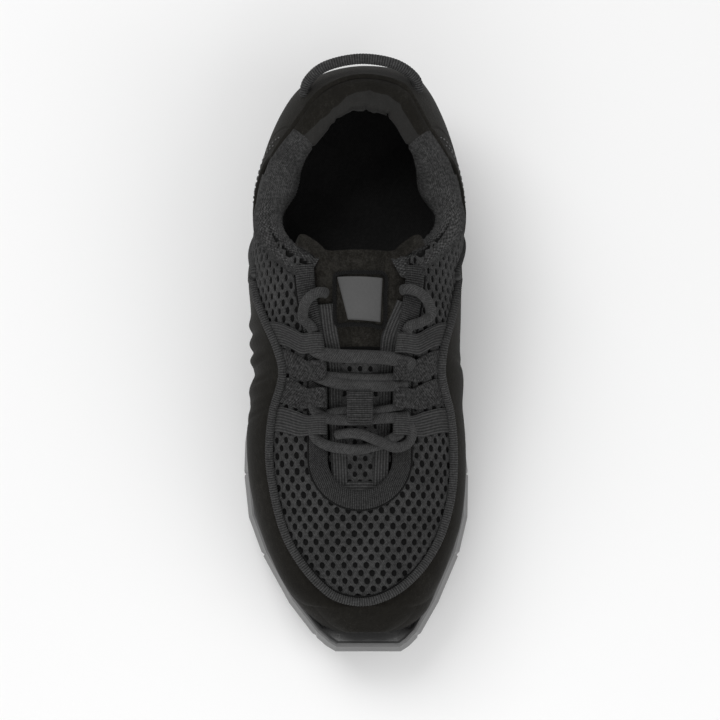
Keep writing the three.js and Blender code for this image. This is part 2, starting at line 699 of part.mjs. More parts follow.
// The mudguard runs from the piping down to the sole on both sides and round the toe.
const ARCH_HALF_WIDTH = SOLE_WIDTH / 3; // behind the piping's table the suede stays outside this line
function mudguard() {
  const steps = 24;
  const outline = [];
  for (let i = -steps; i <= steps; i++) {
    const y = along(PIPING_START + (PIPING_FLANK - PIPING_START) * (i / steps) ** 2);
    outline.push(i === 0 ? [0, y] : pipingFoot(y, Math.sign(i)));
  }
  const archStart = along(PIPING_FLANK);
  const arch = [
    [-ARCH_HALF_WIDTH, archStart],
    [ARCH_HALF_WIDTH, archStart],
    [ARCH_HALF_WIDTH, FAR],
    [-ARCH_HALF_WIDTH, FAR],
  ];
  const panel = suedeShell()
    .subtract(planPrism(outline))
    .subtract(aboveFlank(-1))
    .subtract(aboveFlank(1))
    .subtract(planPrism(arch))
    .subtract(openUnder(LASTING_MARGIN / 2))
    .subtract(counterRegion(GAP))
    .subtract(pipingTube(PIPING_DIAMETER / 2 + GAP));
  return largest(panel);
}

// Padded collar: a ring of sections that follow the upper's inside round the heel.
// in is the distance from the wall as a share of PAD_THICKNESS, down the depth as a share of PAD_DEPTH.
const PAD_SECTION = [
  { in: -0.1, down: 0.0, roll: 0.2 },
  { in: 0.08, down: 0.0, roll: 0.75 },
  { in: 0.34, down: 0.0, roll: 1.0 },
  { in: 0.7, down: 0.04, roll: 0.5 },
  { in: 0.96, down: 0.18, roll: 0.0 },
  { in: 1.0, down: 0.38, roll: 0.0 },
  { in: 0.82, down: 0.62, roll: 0.0 },
  { in: 0.42, down: 0.86, roll: 0.0 },
  { in: 0.12, down: 1.0, roll: 0.0 },
  { in: -0.1, down: 1.0, roll: 0.0 },
  { in: -0.1, down: 0.66, roll: 0.0 },
  { in: -0.1, down: 0.33, roll: 0.0 },
];
const PAD_START = 0.672; // share of LAST_LENGTH where the padding begins on each side
const PAD_END_THICKNESS = 0.45; // share of the full thickness at those ends
const PAD_TAPER = 0.3; // share of each side over which it grows to the full thickness
function collarPadding() {
  const steps = 12;
  const inset = -(WALL + GAP);
  const at = (u) => 1 - (1 - PAD_START) * u * u;
  const rings = [];
  for (let i = -steps; i <= steps; i++) {
    const u = i / steps;
    const edge = collarHeight(along(at(u)));
    const thin = PAD_END_THICKNESS + (1 - PAD_END_THICKNESS) * smooth((1 - Math.abs(u)) / PAD_TAPER);
    const ring = PAD_SECTION.map((row) => {
      const z = edge + PAD_ROLL * row.roll - PAD_DEPTH * row.down;
      const place = (v) => {
        const p = wallPoint(at(v), v < 0 ? -1 : 1, z, inset);
        if (at(v) > 0.9999) p.x = section(1, inset).centre;
        return p;
      };
      const tangent = place(Math.min(u + 0.03, 1)).sub(place(Math.max(u - 0.03, -1)));
      tangent.z = 0;
      const inward = tangent.normalize().cross(UP);
      return place(u).addScaledVector(inward, PAD_THICKNESS * thin * row.in);
    });
    rings.push(ring);
  }
  return loft(rings).intersect(form(inset));
}

// Tongue: at is a share of its length from the end under the vamp, widths are shares of BALL_WIDTH,
// rise is how far it stands above the upper's form, as a share of INSTEP_RISE.
const TONGUE = [
  { at: 0.0, half: 0.2, rise: 0.0 },
  { at: 0.06, half: 0.235, rise: 0.0 },
  { at: 0.3, half: 0.255, rise: 0.0 },
  { at: 0.6, half: 0.27, rise: 0.0 },
  { at: 0.84, half: 0.256, rise: 0.0 },
  { at: 0.9, half: 0.216, rise: 0.0 },
  { at: 0.935, half: 0.203, rise: 0.02 },
  { at: 0.97, half: 0.238, rise: 0.06 },
  { at: 1.0, half: 0.305, rise: 0.1 },
];
const tongueHalf = curve(TONGUE, "half");
const tongueRise = curve(TONGUE, "rise");
const TONGUE_EAR = 7; // how much further the raised corners reach than the middle of the top edge
const TONGUE_EDGE = 0.28; // thickness of its side edges and ends, as shares of TONGUE_THICKNESS
const TONGUE_TIP = 0.35;
const TONGUE_BULGE_RUN = 12; // over this distance behind the throat's round end it rises into the throat

function tongueTop(x, y, raise = 0) {
  const share = (y - TONGUE_START) / (TONGUE_END - TONGUE_START);
  const inset = -(WALL + 2 * GAP);
  const out = Math.min(Math.abs(x) / (THROAT_HALF_WIDTH - 2 * WALL), 1);
  const bulge = (WALL + GAP) * (1 - out * out) * smooth((y - THROAT_START - THROAT_ROUND) / TONGUE_BULGE_RUN);
  const p = topPoint(shareOf(y, inset), x, inset);
  p.z += bulge + raise + INSTEP_RISE * tongueRise(Math.min(Math.max(share, 0), 1));
  return p;
}

function tongue() {
  const steps = 13;
  const around = 10;
  const rings = [];
  for (let i = 0; i <= steps; i++) {
    const share = 1 - (1 - i / steps) ** 1.3; // closer together towards the raised corners
    const half = BALL_WIDTH * tongueHalf(share);
    const place = (k, raise) => {
      const out = -Math.cos((Math.PI * k) / around);
      const ear = TONGUE_EAR * (Math.abs(out) ** 2 - 1) * smooth((share - 0.6) / 0.4);
      const y = TONGUE_START + (TONGUE_END - TONGUE_START) * share + ear;
      const thin = TONGUE_EDGE + (1 - TONGUE_EDGE) * Math.sqrt(Math.max(1 - out ** 4, 0));
      const end = Math.min(1, TONGUE_TIP + 4 * Math.min(share, 1 - share));
      return tongueTop(half * out, y, raise * TONGUE_THICKNESS * thin * end);
    };
    const over = Array.from({ length: around + 1 }, (_, k) => place(k, 0));
    const under = Array.from({ length: around + 1 }, (_, k) => place(around - k, -1));
    rings.push([...over, ...under]);
  }
  return loft(rings);
}

// A flat piece drawn in [x, y, n] and laid on a surface: lay gives the point at x, y and height n above it.
function laidOn(geometry, lay) {
  const position = geometry.getAttribute("position");
  for (let i = 0; i < position.count; i++) {
    const p = lay(position.getX(i), position.getY(i), position.getZ(i));
    position.setXYZ(i, p.x, p.y, p.z);
  }
  return solidOf(geometry);
}

function tonguePatch() {
  const patch = new THREE.BoxGeometry(PATCH_SIDE, PATCH_SIDE, PATCH_THICKNESS, 4, 4, 1);
  return laidOn(patch, (x, y, n) => tongueTop(x, y + PATCH_Y, n + PATCH_THICKNESS / 2 + PATCH_LIFT));
}

// Lace straps. The section is drawn across the shoe: a loop at the throat edge and a tail out to the piping.
const strapHeel = (index) => FIRST_STRAP_Y - index * STRAP_PITCH;
const strapMiddle = (index) => strapHeel(index) - (STRAP_PITCH - STRAP_GAP) / 2;
const LOOP_WIDTH = LACE_WIDTH + 2 * EYE_CLEARANCE + 2 * WEBBING;
const LOOP_HEIGHT = LACE_THICKNESS + 2 * EYE_CLEARANCE + 2 * WEBBING;
const LOOP_LENGTH = 5.6; // of the loop along the throat, narrower than the strap
const LOOP_OVERHANG = 1; // past the throat's edge
const STRAP_LIFT = 0.5; // of webbing over the upper
const LOOP_ROUND = 2.4; // corner radius outside, and inside round the lace
const EYE_ROUND = 1.6;

function roundedBox(width, height, radius, points) {
  const outline = [];
  const corners = [
    [width - radius, radius, -Math.PI / 2],
    [width - radius, height - radius, 0],
    [radius, height - radius, Math.PI / 2],
    [radius, radius, Math.PI],
  ];
  for (const [x, y, turn] of corners)
    for (let i = 0; i <= points; i++) {
      const a = turn + (Math.PI / 2) * (i / points);
      outline.push(new THREE.Vector2(x + radius * Math.cos(a), y + radius * Math.sin(a)));
    }
  return outline;
}

function laceStrap(side, index) {
  const heel = strapHeel(index);
  const width = STRAP_PITCH - STRAP_GAP;
  const loopEdge = (width - LOOP_LENGTH) / 2;
  const fold = LOOP_WIDTH - LOOP_OVERHANG;
  const lay = (u, v, n) => {
    const y = heel - v;
    const base = throatHalf(y) + Math.min(u, fold);
    const out = Math.max(u - fold, 0);
    const swept = y + STRAP_SWEEP * smooth(out) * (1 - index / (2 * STRAP_COUNT));
    const end = Math.abs(pipingX(swept, side)) - PIPING_DIAMETER / 2 - 3 * GAP;
    const x = side * (base + (end - base) * out);
    return topPoint(shareOf(swept, n), x, n);
  };
  const loopShape = new THREE.Shape(roundedBox(LOOP_WIDTH, LOOP_HEIGHT, LOOP_ROUND, 1));
  const eye = roundedBox(LOOP_WIDTH - 2 * WEBBING, LOOP_HEIGHT - 2 * WEBBING, EYE_ROUND, 1);
  loopShape.holes.push(new THREE.Path(eye.map((p) => new THREE.Vector2(p.x + WEBBING, p.y + WEBBING))));
  const loop = new THREE.ExtrudeGeometry(loopShape, { depth: LOOP_LENGTH, steps: 1, bevelEnabled: false });
  const ring = laidOn(loop, (u, h, v) => lay(u - LOOP_OVERHANG, v + loopEdge, h + STRAP_LIFT));
  const tail = new THREE.BoxGeometry(4, width, WEBBING, 4, 1, 1);
  const root = fold - LOOP_WIDTH / 2;
  const band = laidOn(tail, (cell, v, n) => {
    const out = (cell + 1) / 3; // its first cell is under the loop, and three run from the fold to the piping
    return lay(out < 0 ? root : fold + out, v + width / 2, n + WEBBING / 2 + STRAP_LIFT);
  });
  return ring.add(band);
}

// Webbing bridge in the middle of the tongue, over the third crossing.
function tongueLaceLoop() {
  const outline = (inset) => {
    const half = [
      [BRIDGE_LENGTH / 2 - inset, -inset],
      [BRIDGE_LENGTH / 2 - BRIDGE_LEAN - inset, BRIDGE_HEIGHT * BRIDGE_SHOULDER - inset / 2],
      [BRIDGE_LENGTH / 2 - BRIDGE_ROUND - inset / 2, BRIDGE_HEIGHT - inset],
    ];
    return [...half, ...half.map(([v, n]) => [-v, n]).reverse()];
  };
  const extrude = (inset, width) => {
    const shape = new THREE.Shape(outline(inset).map(([v, n]) => new THREE.Vector2(v, n)));
    const geometry = new THREE.ExtrudeGeometry(shape, { depth: width, steps: 2, bevelEnabled: false });
    geometry.translate(0, 0, -width / 2);
    return laidOn(geometry, (v, n, x) => tongueTop(x, v + BRIDGE_Y, n + GAP));
  };
  return extrude(0, BRIDGE_WIDTH).subtract(extrude(WEBBING, BRIDGE_WIDTH + 2));
}

// The lace. A crossing is two strands from the loops of one pair to the loops of the next.
const onUpper = (x, y, n) => topPoint(shareOf(y, n), x, n);
const loopMiddle = (y) => throatHalf(y) + LOOP_WIDTH / 2 - LOOP_OVERHANG;
const LACE_HEIGHT = STRAP_LIFT + WEBBING + EYE_CLEARANCE + LACE_THICKNESS / 2;

function lace(route, sides, points) {
  const path = new THREE.CatmullRomCurve3(route.map((place) => onUpper(...place))).getPoints(points);
  return sweep(path, LACE_WIDTH / 2, LACE_THICKNESS / 2, sides);
}

// Half of a strand, from the loop to the middle: out is a share of the way, ahead and rise are distances.
const STRAND = [
  { out: 1, ahead: 0.35, rise: 0, stack: 0 },
  { out: 0.5, ahead: 0.5, rise: -0.6, stack: 1 },
  { out: 0, ahead: 0, rise: -0.9, stack: 1 },
];
const STACK = { 1: 1.3, "-1": -0.2 }; // how much higher the strand that starts on each side runs

function laceCrossing(index) {
  const y = strapMiddle(index) - STRAP_PITCH / 2;
  const end = loopMiddle(y) + 0.5;
  const strands = [-1, 1].map((side) => {
    const point = (row, half) => [
      half * side * end * row.out,
      y - half * row.ahead,
      LACE_HEIGHT + row.rise + row.stack * STACK[side],
    ];
    const first = STRAND.map((row) => point(row, -1));
    const last = STRAND.slice(0, -1).map((row) => point(row, 1));
    return lace([...first, ...last.reverse()], 6, 8);
  });
  return strands[0].add(strands[1]);
}

// A lace end leaves the top loop, arches towards the heel and goes back in beside the tongue.
// out and heel are distances from the loop's end, outwards and towards the heel, and rise is above LACE_HEIGHT.
const LACE_ENDS = {
  "-1": [
    { out: 0, heel: 0, rise: 0 },
    { out: 1.5, heel: 3, rise: 1 },
    { out: 4.5, heel: 6, rise: 1.7 },
    { out: 4.6, heel: 10, rise: 2.4 },
    { out: 2.6, heel: 14, rise: 3.2 },
    { out: -1, heel: 16.4, rise: 3.2 },
    { out: -4.4, heel: 17, rise: 0.5 },
    { out: -5.6, heel: 16.8, rise: -3.9 },
  ],
  1: [
    { out: 0, heel: 0, rise: 0 },
    { out: 1.8, heel: 3.2, rise: 1 },
    { out: 6.5, heel: 5, rise: 1.5 },
    { out: 10.5, heel: 8, rise: 2 },
    { out: 10.4, heel: 12, rise: 2.6 },
    { out: 7.8, heel: 15.8, rise: 3.2 },
    { out: 3.6, heel: 18, rise: 3.4 },
    { out: 0, heel: 18.6, rise: 1.5 },
    { out: -2.4, heel: 18.4, rise: -3 },
  ],
};

function laceEnd(side) {
  const y = strapMiddle(0) + LOOP_LENGTH / 2 + 4 * GAP;
  const x = loopMiddle(y);
  const route = LACE_ENDS[side].map((row) => [side * (x + row.out), y + row.heel, LACE_HEIGHT + row.rise]);
  return lace(route, 8, 12);
}

// Knit cord round the back of the heel, held in the collar seam at both ends.
function pullLoop() {
  const collar = collarHeight(along(1));
  const place = (row) => new THREE.Vector3(BALL_WIDTH * row.across, along(1) + row.back, collar + row.rise);
  const route = new THREE.CatmullRomCurve3(PULL_LOOP.map(place)).getPoints(16);
  return sweep(route, PULL_LOOP_DIAMETER / 2, PULL_LOOP_DIAMETER / 2, 8).subtract(form(SUEDE + 2 * GAP));
}

function part(name, solid, colour, roughness) {
  const material = new THREE.MeshStandardMaterial({ color: colour, roughness, metalness: 0 });
  const mesh = new THREE.Mesh(geometryOf(solid), material);
  mesh.name = name;
  return mesh;
}

const shoe = new THREE.Group();
shoe.add(
  part("forefoot_sole", forefootSole(), 0x2a2a2b, 0.55),
  part("heel_sole", heelSole(), 0x2a2a2b, 0.55),
  part("upper", upper(), 0x2e2e2f, 0.9),
  part("insole", insole(), 0x0b0b0b, 0.95),
  part("tongue", tongue(), 0x1d1c1a, 0.95),
  part("tongue_patch", tonguePatch(), 0x5c5c5c, 0.8),
  part("collar_padding", collarPadding(), 0x232323, 0.9),
  part("mudguard", mudguard(), 0x1b1a18, 0.95),
  part("heel_counter", heelCounter(), 0x1b1a18, 0.95),
  part("piping", piping(), 0x2b2b2c, 0.9),
  part("tongue_lace_loop", tongueLaceLoop(), 0x303031, 0.9),
  part("pull_loop", pullLoop(), 0x303031, 0.9),
);
const SIDES = [
  [-1, "lateral"],
  [1, "medial"],
];
for (const [side, name] of SIDES) {
  for (let i = 0; i < STRAP_COUNT; i++)
    shoe.add(part(`lace_strap_${name}_${i + 1}`, laceStrap(side, i), 0x303031, 0.9));
  shoe.add(part(`lace_end_${name}`, laceEnd(side), 0x3a3a3b, 0.85));
}
for (let i = 0; i < STRAP_COUNT; i++)
  shoe.add(part(`lace_crossing_${i + 1}`, laceCrossing(i), 0x3a3a3b, 0.85));

// The origin is at the middle of the underside of the whole shoe.
const box = new THREE.Box3().setFromObject(shoe);
const middle = box.getCenter(new THREE.Vector3());
for (const mesh of shoe.children) mesh.position.set(-middle.x, -middle.y, -box.min.z);

export default shoe;
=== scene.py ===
"""Looks of a right dance sneaker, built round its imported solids. Shapes are worked out in millimetres."""
import math

import bpy
import numpy as np
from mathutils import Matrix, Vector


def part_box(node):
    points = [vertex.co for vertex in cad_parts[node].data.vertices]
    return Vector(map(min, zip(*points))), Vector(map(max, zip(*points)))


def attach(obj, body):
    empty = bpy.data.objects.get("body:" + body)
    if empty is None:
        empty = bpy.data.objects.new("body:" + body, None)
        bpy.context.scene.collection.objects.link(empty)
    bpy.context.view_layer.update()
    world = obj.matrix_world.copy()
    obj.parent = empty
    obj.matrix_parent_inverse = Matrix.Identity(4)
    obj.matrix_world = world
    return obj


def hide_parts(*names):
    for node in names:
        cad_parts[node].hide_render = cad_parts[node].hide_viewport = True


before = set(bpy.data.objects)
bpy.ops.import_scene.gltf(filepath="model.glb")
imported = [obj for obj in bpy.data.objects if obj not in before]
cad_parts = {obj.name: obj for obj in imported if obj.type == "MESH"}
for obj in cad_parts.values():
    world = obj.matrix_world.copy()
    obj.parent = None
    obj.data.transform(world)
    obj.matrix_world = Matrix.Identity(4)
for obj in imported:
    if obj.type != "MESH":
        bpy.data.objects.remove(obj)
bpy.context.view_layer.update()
MM = 0.001
RANDOM = np.random.default_rng(7)

# Driving sizes, the same as those of the solids
LAST_LENGTH = 253.0
BALL_WIDTH = 95.5
INSTEP_RISE = 70.0
BALL_SEAT = 14.0
HEEL_LIFT = 12.0
TOE_SPRING = 7.0
TOE_Y = -125.0
WALL = 2.4
HEEL_CURVE = 21.0
HEEL_TUCK = 5.0
HEEL_START = 0.7
UPPER_POWER = 2.3
LOWER_POWER = 2.6
SOLE_WIDTH = 103.0
TOE_TIP_Y = -133.5
THROAT_HALF_WIDTH = 15.3
THROAT_TOP_HALF_WIDTH = 21.0
THROAT_START = -64.0
THROAT_ROUND = 15.0
THROAT_WIDENS = -14.0
THROAT_END = 33.0
TONGUE_START = -70.0
TONGUE_END = 46.0
TONGUE_THICKNESS = 5.0
TONGUE_EAR = 7.0
PAD_DEPTH = 34.0
STRAP_PITCH = 11.6
STRAP_GAP = 1.0
FIRST_STRAP_Y = 5.0
STRAP_SWEEP = 6.0
STRAP_COUNT = 4
LACE_WIDTH = 4.6
LACE_THICKNESS = 2.6
LACE_HEIGHT = 3.5
LOOP_WIDTH = 8.0
LOOP_LENGTH = 5.6
LOOP_OVERHANG = 1.0
PULL_LOOP_DIAMETER = 4.7
UP = np.array([0.0, 0.0, 1.0])

# Last: share of the length, lateral and medial half widths, waist and top heights, spring, lift
SECTIONS = [
    (0.0, -0.024, 0.024, 0.064, 0.143, 1.0, 0.0),
    (0.012, 0.142, 0.199, 0.093, 0.243, 0.79, 0.0),
    (0.04, 0.245, 0.302, 0.124, 0.353, 0.54, 0.0),
    (0.08, 0.335, 0.353, 0.153, 0.446, 0.33, 0.0),
    (0.14, 0.41, 0.412, 0.179, 0.529, 0.14, 0.0),
    (0.2, 0.465, 0.46, 0.196, 0.589, 0.04, 0.0),
    (0.27, 0.505, 0.481, 0.214, 0.664, 0.0, 0.0),
    (0.35, 0.518, 0.479, 0.236, 0.764, 0.0, 0.04),
    (0.43, 0.496, 0.457, 0.262, 0.857, 0.0, 0.25),
    (0.5, 0.479, 0.45, 0.286, 0.921, 0.0, 0.54),
    (0.57, 0.495, 0.457, 0.314, 0.993, 0.0, 0.75),
    (0.64, 0.513, 0.468, 0.336, 1.045, 0.0, 0.875),
    (0.71, 0.497, 0.487, 0.35, 1.071, 0.0, 0.96),
    (0.78, 0.48, 0.472, 0.343, 1.079, 0.0, 1.0),
    (0.85, 0.434, 0.432, 0.343, 1.086, 0.0, 1.0),
    (0.91, 0.369, 0.382, 0.336, 1.1, 0.0, 1.0),
    (0.96, 0.281, 0.314, 0.321, 1.107, 0.0, 1.04),
    (0.985, 0.183, 0.243, 0.314, 1.107, 0.0, 1.08),
    (1.0, -0.02, 0.02, 0.307, 1.107, 0.0, 1.12),
]
COLLAR = [
    (0.6, 1.045), (0.624, 0.985), (0.664, 0.893), (0.704, 0.786), (0.743, 0.714), (0.783, 0.686),
    (0.822, 0.714), (0.862, 0.8), (0.901, 0.871), (0.941, 0.907), (1.0, 0.921), (1.06, 0.921),
]
# Piping line in plan: share of the length, lateral and medial half widths
PIPING = [
    (0.051, -0.005, 0.005), (0.06, 0.112, 0.115), (0.08, 0.185, 0.205), (0.12, 0.276, 0.306),
    (0.17, 0.35, 0.38), (0.24, 0.402, 0.43), (0.31, 0.425, 0.441), (0.38, 0.408, 0.425),
    (0.445, 0.36, 0.382), (0.49, 0.385, 0.389), (0.54, 0.442, 0.424), (0.58, 0.482, 0.448),
    (0.62, 0.504, 0.462),
]
PIPING_END = 0.72
PIPING_DROP = 9.0
PIPING_TABLE_RUN = 0.8
# Sole outlines: share of the unit's run, lateral and medial half widths, bottom and rim heights
FOREFOOT_RUN = (TOE_TIP_Y, -10.0)
FOREFOOT = [
    (0.0, 0.108, 0.18, 0.72, 2.2), (0.03, 0.165, 0.232, 0.5, 2.12), (0.1, 0.248, 0.298, 0.22, 1.97),
    (0.2, 0.33, 0.358, 0.04, 1.84), (0.3, 0.4, 0.415, 0.0, 1.74), (0.42, 0.465, 0.46, 0.0, 1.66),
    (0.54, 0.508, 0.486, 0.0, 1.62), (0.66, 0.518, 0.484, 0.0, 1.64), (0.78, 0.514, 0.466, 0.0, 1.72),
    (0.88, 0.496, 0.43, 0.3, 1.82), (0.96, 0.452, 0.375, 0.9, 1.86), (1.0, 0.41, 0.335, 1.4, 1.84),
]
HEEL_RUN = (28.0, 126.5)
HEEL = [
    (0.0, 0.3, 0.27, 0.55, 1.2), (0.07, 0.345, 0.31, 0.25, 1.22), (0.16, 0.37, 0.342, 0.0, 1.22),
    (0.35, 0.378, 0.366, 0.0, 1.2), (0.55, 0.372, 0.37, 0.0, 1.2), (0.72, 0.342, 0.35, 0.0, 1.21),
    (0.84, 0.286, 0.305, 0.02, 1.23), (0.93, 0.2, 0.232, 0.12, 1.26), (1.0, 0.075, 0.115, 0.26, 1.3),
]
# Tongue: share of its length, half width, rise
TONGUE = [
    (0.0, 0.2, 0.0), (0.06, 0.235, 0.0), (0.3, 0.255, 0.0), (0.6, 0.27, 0.0), (0.84, 0.256, 0.0),
    (0.9, 0.216, 0.0), (0.935, 0.203, 0.02), (0.97, 0.238, 0.06), (1.0, 0.305, 0.1),
]
PULL_LOOP = [
    (-25, 110, 81), (-23, 117, 85), (-15, 122.6, 90), (0, 125.4, 92), (15, 123.4, 91),
    (24, 118.4, 86), (26.5, 112, 82),
]

# The solids are centred on the whole shoe: the sole's toe tip and the tongue's lace loop show by how much.
toe_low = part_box("forefoot_sole")[0]
loop_low, loop_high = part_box("tongue_lace_loop")
SHIFT = np.array([(loop_low.x + loop_high.x) / 2 / MM, toe_low.y / MM - TOE_TIP_Y, 0.0])


# Camera, above the shoe and a little to the toe side
def look_at(name, kind, place, target):
    obj = bpy.data.objects.new(name, kind)
    bpy.context.scene.collection.objects.link(obj)
    obj.location = (np.array(place, float) + SHIFT) * MM
    aim = Vector((np.array(target, float) + SHIFT) * MM) - obj.location
    obj.rotation_euler = aim.to_track_quat("-Z", "Y").to_euler()
    return obj


CAMERA_TARGET = (0.0, 2.7, 0.0)
CAMERA_DISTANCE = 1350.0
CAMERA_ELEVATION = math.radians(83)
CAMERA_LENS = 144.2
CAMERA_SENSOR = 36
camera_data = bpy.data.cameras.new("camera")
camera_data.lens = CAMERA_LENS
camera_data.sensor_width = CAMERA_SENSOR
camera = look_at(
    "camera", camera_data,
    (0.0, CAMERA_TARGET[1] - CAMERA_DISTANCE * math.cos(CAMERA_ELEVATION),
     CAMERA_DISTANCE * math.sin(CAMERA_ELEVATION)),
    CAMERA_TARGET,
)
bpy.context.scene.camera = camera


# Curves through tables and the form of the last
def curve(rows, column, warp=lambda at: at):
    xs = warp(np.array([row[0] for row in rows], float))
    ys = np.array([row[column] for row in rows], float)
    low = np.maximum(np.arange(len(xs)) - 1, 0)
    high = np.minimum(np.arange(len(xs)) + 1, len(xs) - 1)
    slopes = (ys[high] - ys[low]) / (xs[high] - xs[low])

    def value(at):
        v = np.clip(warp(np.asarray(at, float)), xs[0], xs[-1])
        i = np.clip(np.searchsorted(xs, v, side="left") - 1, 0, len(xs) - 2)
        h = xs[i + 1] - xs[i]
        t = (v - xs[i]) / h
        return (
            ys[i] * (2 * t**3 - 3 * t**2 + 1) + ys[i + 1] * (3 * t**2 - 2 * t**3)
            + h * slopes[i] * (t**3 - 2 * t**2 + t) + h * slopes[i + 1] * (t**3 - t**2)
        )

    return value


def smooth(t):
    c = np.clip(t, 0, 1)
    return c * c * (3 - 2 * c)


def bump(x, centre, width):
    """A soft ridge, 1 at its centre and 0 beyond its width."""
    return smooth(1 - np.abs(x - centre) / width)


def end_angle(at):
    return np.arccos(1 - 2 * np.clip(at, 0, 1))


LAST = [curve(SECTIONS, column, end_angle) for column in range(1, 7)]


def section(at, offset=0.0):
    """y, centre, half width, seat, waist and top of the last at a share of its length."""
    lateral, medial, waist, top, spring, lift = [value(at) for value in LAST]
    reach = offset * np.sin(end_angle(at))
    seat = BALL_SEAT + TOE_SPRING * spring + HEEL_LIFT * lift
    low = BALL_WIDTH * lateral + reach
    high = BALL_WIDTH * medial + reach
    y = TOE_Y - offset + at * (LAST_LENGTH + 2 * offset)
    half = np.maximum((low + high) / 2, 1e-6)
    widest = seat + INSTEP_RISE * waist
    closed = seat + INSTEP_RISE * top + offset
    return y, (high - low) / 2, half, seat - offset, widest, closed


def heel_lean(at, rise):
    return -smooth((at - HEEL_START) / (1 - HEEL_START)) * np.where(rise > 0, HEEL_CURVE, HEEL_TUCK) * rise**2


def stack(x, y, z):
    return np.stack(np.broadcast_arrays(x, y, z), -1).astype(float)


def last_point(at, angle, offset=0.0):
    """Angle 0 is the medial side, a quarter turn the top, and a half turn the lateral side."""
    y, centre, half, seat, waist, top = section(at, offset)
    c = np.cos(angle)
    d = np.sin(angle)
    power = 2 / np.where(d > 0, UPPER_POWER, LOWER_POWER)
    rise = np.sign(d) * np.abs(d) ** power
    x = centre + half * np.sign(c) * np.abs(c) ** power
    z = waist + rise * np.where(rise > 0, top - waist, waist - seat)
    return stack(x, y + heel_lean(at, rise), z)


def wall_point(at, side, z, offset=0.0):
    """Point of the wall at a height: side is 1 for medial and -1 for lateral."""
    y, centre, half, seat, waist, top = section(at, offset)
    up = z > waist
    rise = np.clip(np.where(up, (z - waist) / (top - waist), (waist - z) / (waist - seat)), 0, 1)
    power = np.where(up, UPPER_POWER, LOWER_POWER)
    reach = (1 - rise**power) ** (1 / power)
    return stack(centre + side * half * reach, y + heel_lean(at, np.where(up, rise, -rise)), z)


def top_point(at, x, offset=0.0):
    y, centre, half, _, waist, top = section(at, offset)
    out = np.clip(np.abs(x - centre) / half, 0, 1)
    rise = (1 - out**UPPER_POWER) ** (1 / UPPER_POWER)
    return stack(x, y + heel_lean(at, rise), waist + rise * (top - waist))


def share_of(y, offset=0.0):
    return (y - TOE_Y + offset) / (LAST_LENGTH + 2 * offset)


def y_of(at):
    return TOE_Y + LAST_LENGTH * at


def on_upper(x, y, n):
    return top_point(share_of(y, n), x, n)


collar_share = curve(COLLAR, 1)


def collar_height(y):
    return BALL_SEAT + HEEL_LIFT + INSTEP_RISE * collar_share(share_of(y))


def throat_half(y):
    open_share = smooth((y - THROAT_WIDENS) / (THROAT_END - THROAT_WIDENS))
    return THROAT_HALF_WIDTH + (THROAT_TOP_HALF_WIDTH - THROAT_HALF_WIDTH) * open_share


def throat_line(grow):
    """The U of the throat in plan, grown outwards, from its lateral top to its medial top."""
    arc = np.linspace(0, math.pi, 60)
    half = THROAT_HALF_WIDTH + grow
    round_y = THROAT_START + THROAT_ROUND
    low = np.stack([-half * np.cos(arc), round_y - (THROAT_ROUND + grow) * np.sin(arc)], -1)
    ys = np.linspace(round_y + 1, THROAT_END, 90)
    side = np.stack([throat_half(ys) + grow, ys], -1)
    return np.concatenate([(side * (-1, 1))[::-1], low, side])


def outside_throat(x, y):
    """Distance outside the throat's edge, in plan."""
    round_y = THROAT_START + THROAT_ROUND
    ahead = np.hypot(x / THROAT_HALF_WIDTH, (y - round_y) / THROAT_ROUND)
    return np.where(y < round_y, (ahead - 1) * THROAT_ROUND, np.abs(x) - throat_half(y))


# Piping line
PIPING_OFFSET = 2.1
PIPING_SUNK = 0.1
PIPING_SINKS = 0.58
PIPING_SINK_RUN = 22.0
PIPING_HALF_WIDTH = 1.85
PIPING_HALF_HEIGHT = 1.7
PIPING_START = PIPING[0][0]
PIPING_FLANK = PIPING[-1][0]


def toe_round(at):
    return np.sqrt(np.maximum(at - PIPING_START, 0))


PIPING_WIDTH = {-1: curve(PIPING, 1, toe_round), 1: curve(PIPING, 2, toe_round)}


def piping_x(y, side):
    return side * BALL_WIDTH * PIPING_WIDTH[side](share_of(y))


def piping_z(at, side):
    """Height of the piping where it runs along the flank."""
    start = top_point(PIPING_FLANK, piping_x(y_of(PIPING_FLANK), side), PIPING_OFFSET)[..., 2]
    high = start - section(PIPING_FLANK)[4]
    fall = smooth((at - PIPING_FLANK) / (PIPING_END - PIPING_FLANK))
    return section(at)[4] + high + (-PIPING_DROP - high) * fall


def piping_angle(at, side):
    """Angle up from the widest height at which the piping crosses a section, on one side."""
    _, centre, half, _, waist, top = section(at)
    x = piping_x(y_of(at), side)
    out = np.clip(side * (x - centre) / half, -1, 1)
    plan = np.arccos(np.sign(out) * np.abs(out) ** (UPPER_POWER / 2))
    z = piping_z(at, side)
    rise = np.clip(np.abs(z - waist) / (top - waist), 0, 1)
    flank = np.sign(z - waist) * np.arcsin(rise ** (UPPER_POWER / 2))
    return np.where(at < PIPING_START, math.pi / 2, np.where(at < PIPING_FLANK, plan, flank))


def piping_route(offset, steps=260):
    sides = []
    for side in (-1, 1):
        s = np.linspace(0, 1, steps)
        run = PIPING_TABLE_RUN
        table = PIPING_START + (PIPING_FLANK - PIPING_START) * np.minimum(s / run, 1) ** 2
        y = y_of(table)
        plan = top_point(share_of(y, offset), piping_x(y, side), offset)
        at = PIPING_FLANK + (PIPING_END - PIPING_FLANK) * np.maximum((s - run) / (1 - run), 0)
        flank = wall_point(at, side, piping_z(at, side), offset)
        sides.append(np.where((s <= run)[:, None], plan, flank))
    return np.concatenate([sides[0][:0:-1], sides[1]])


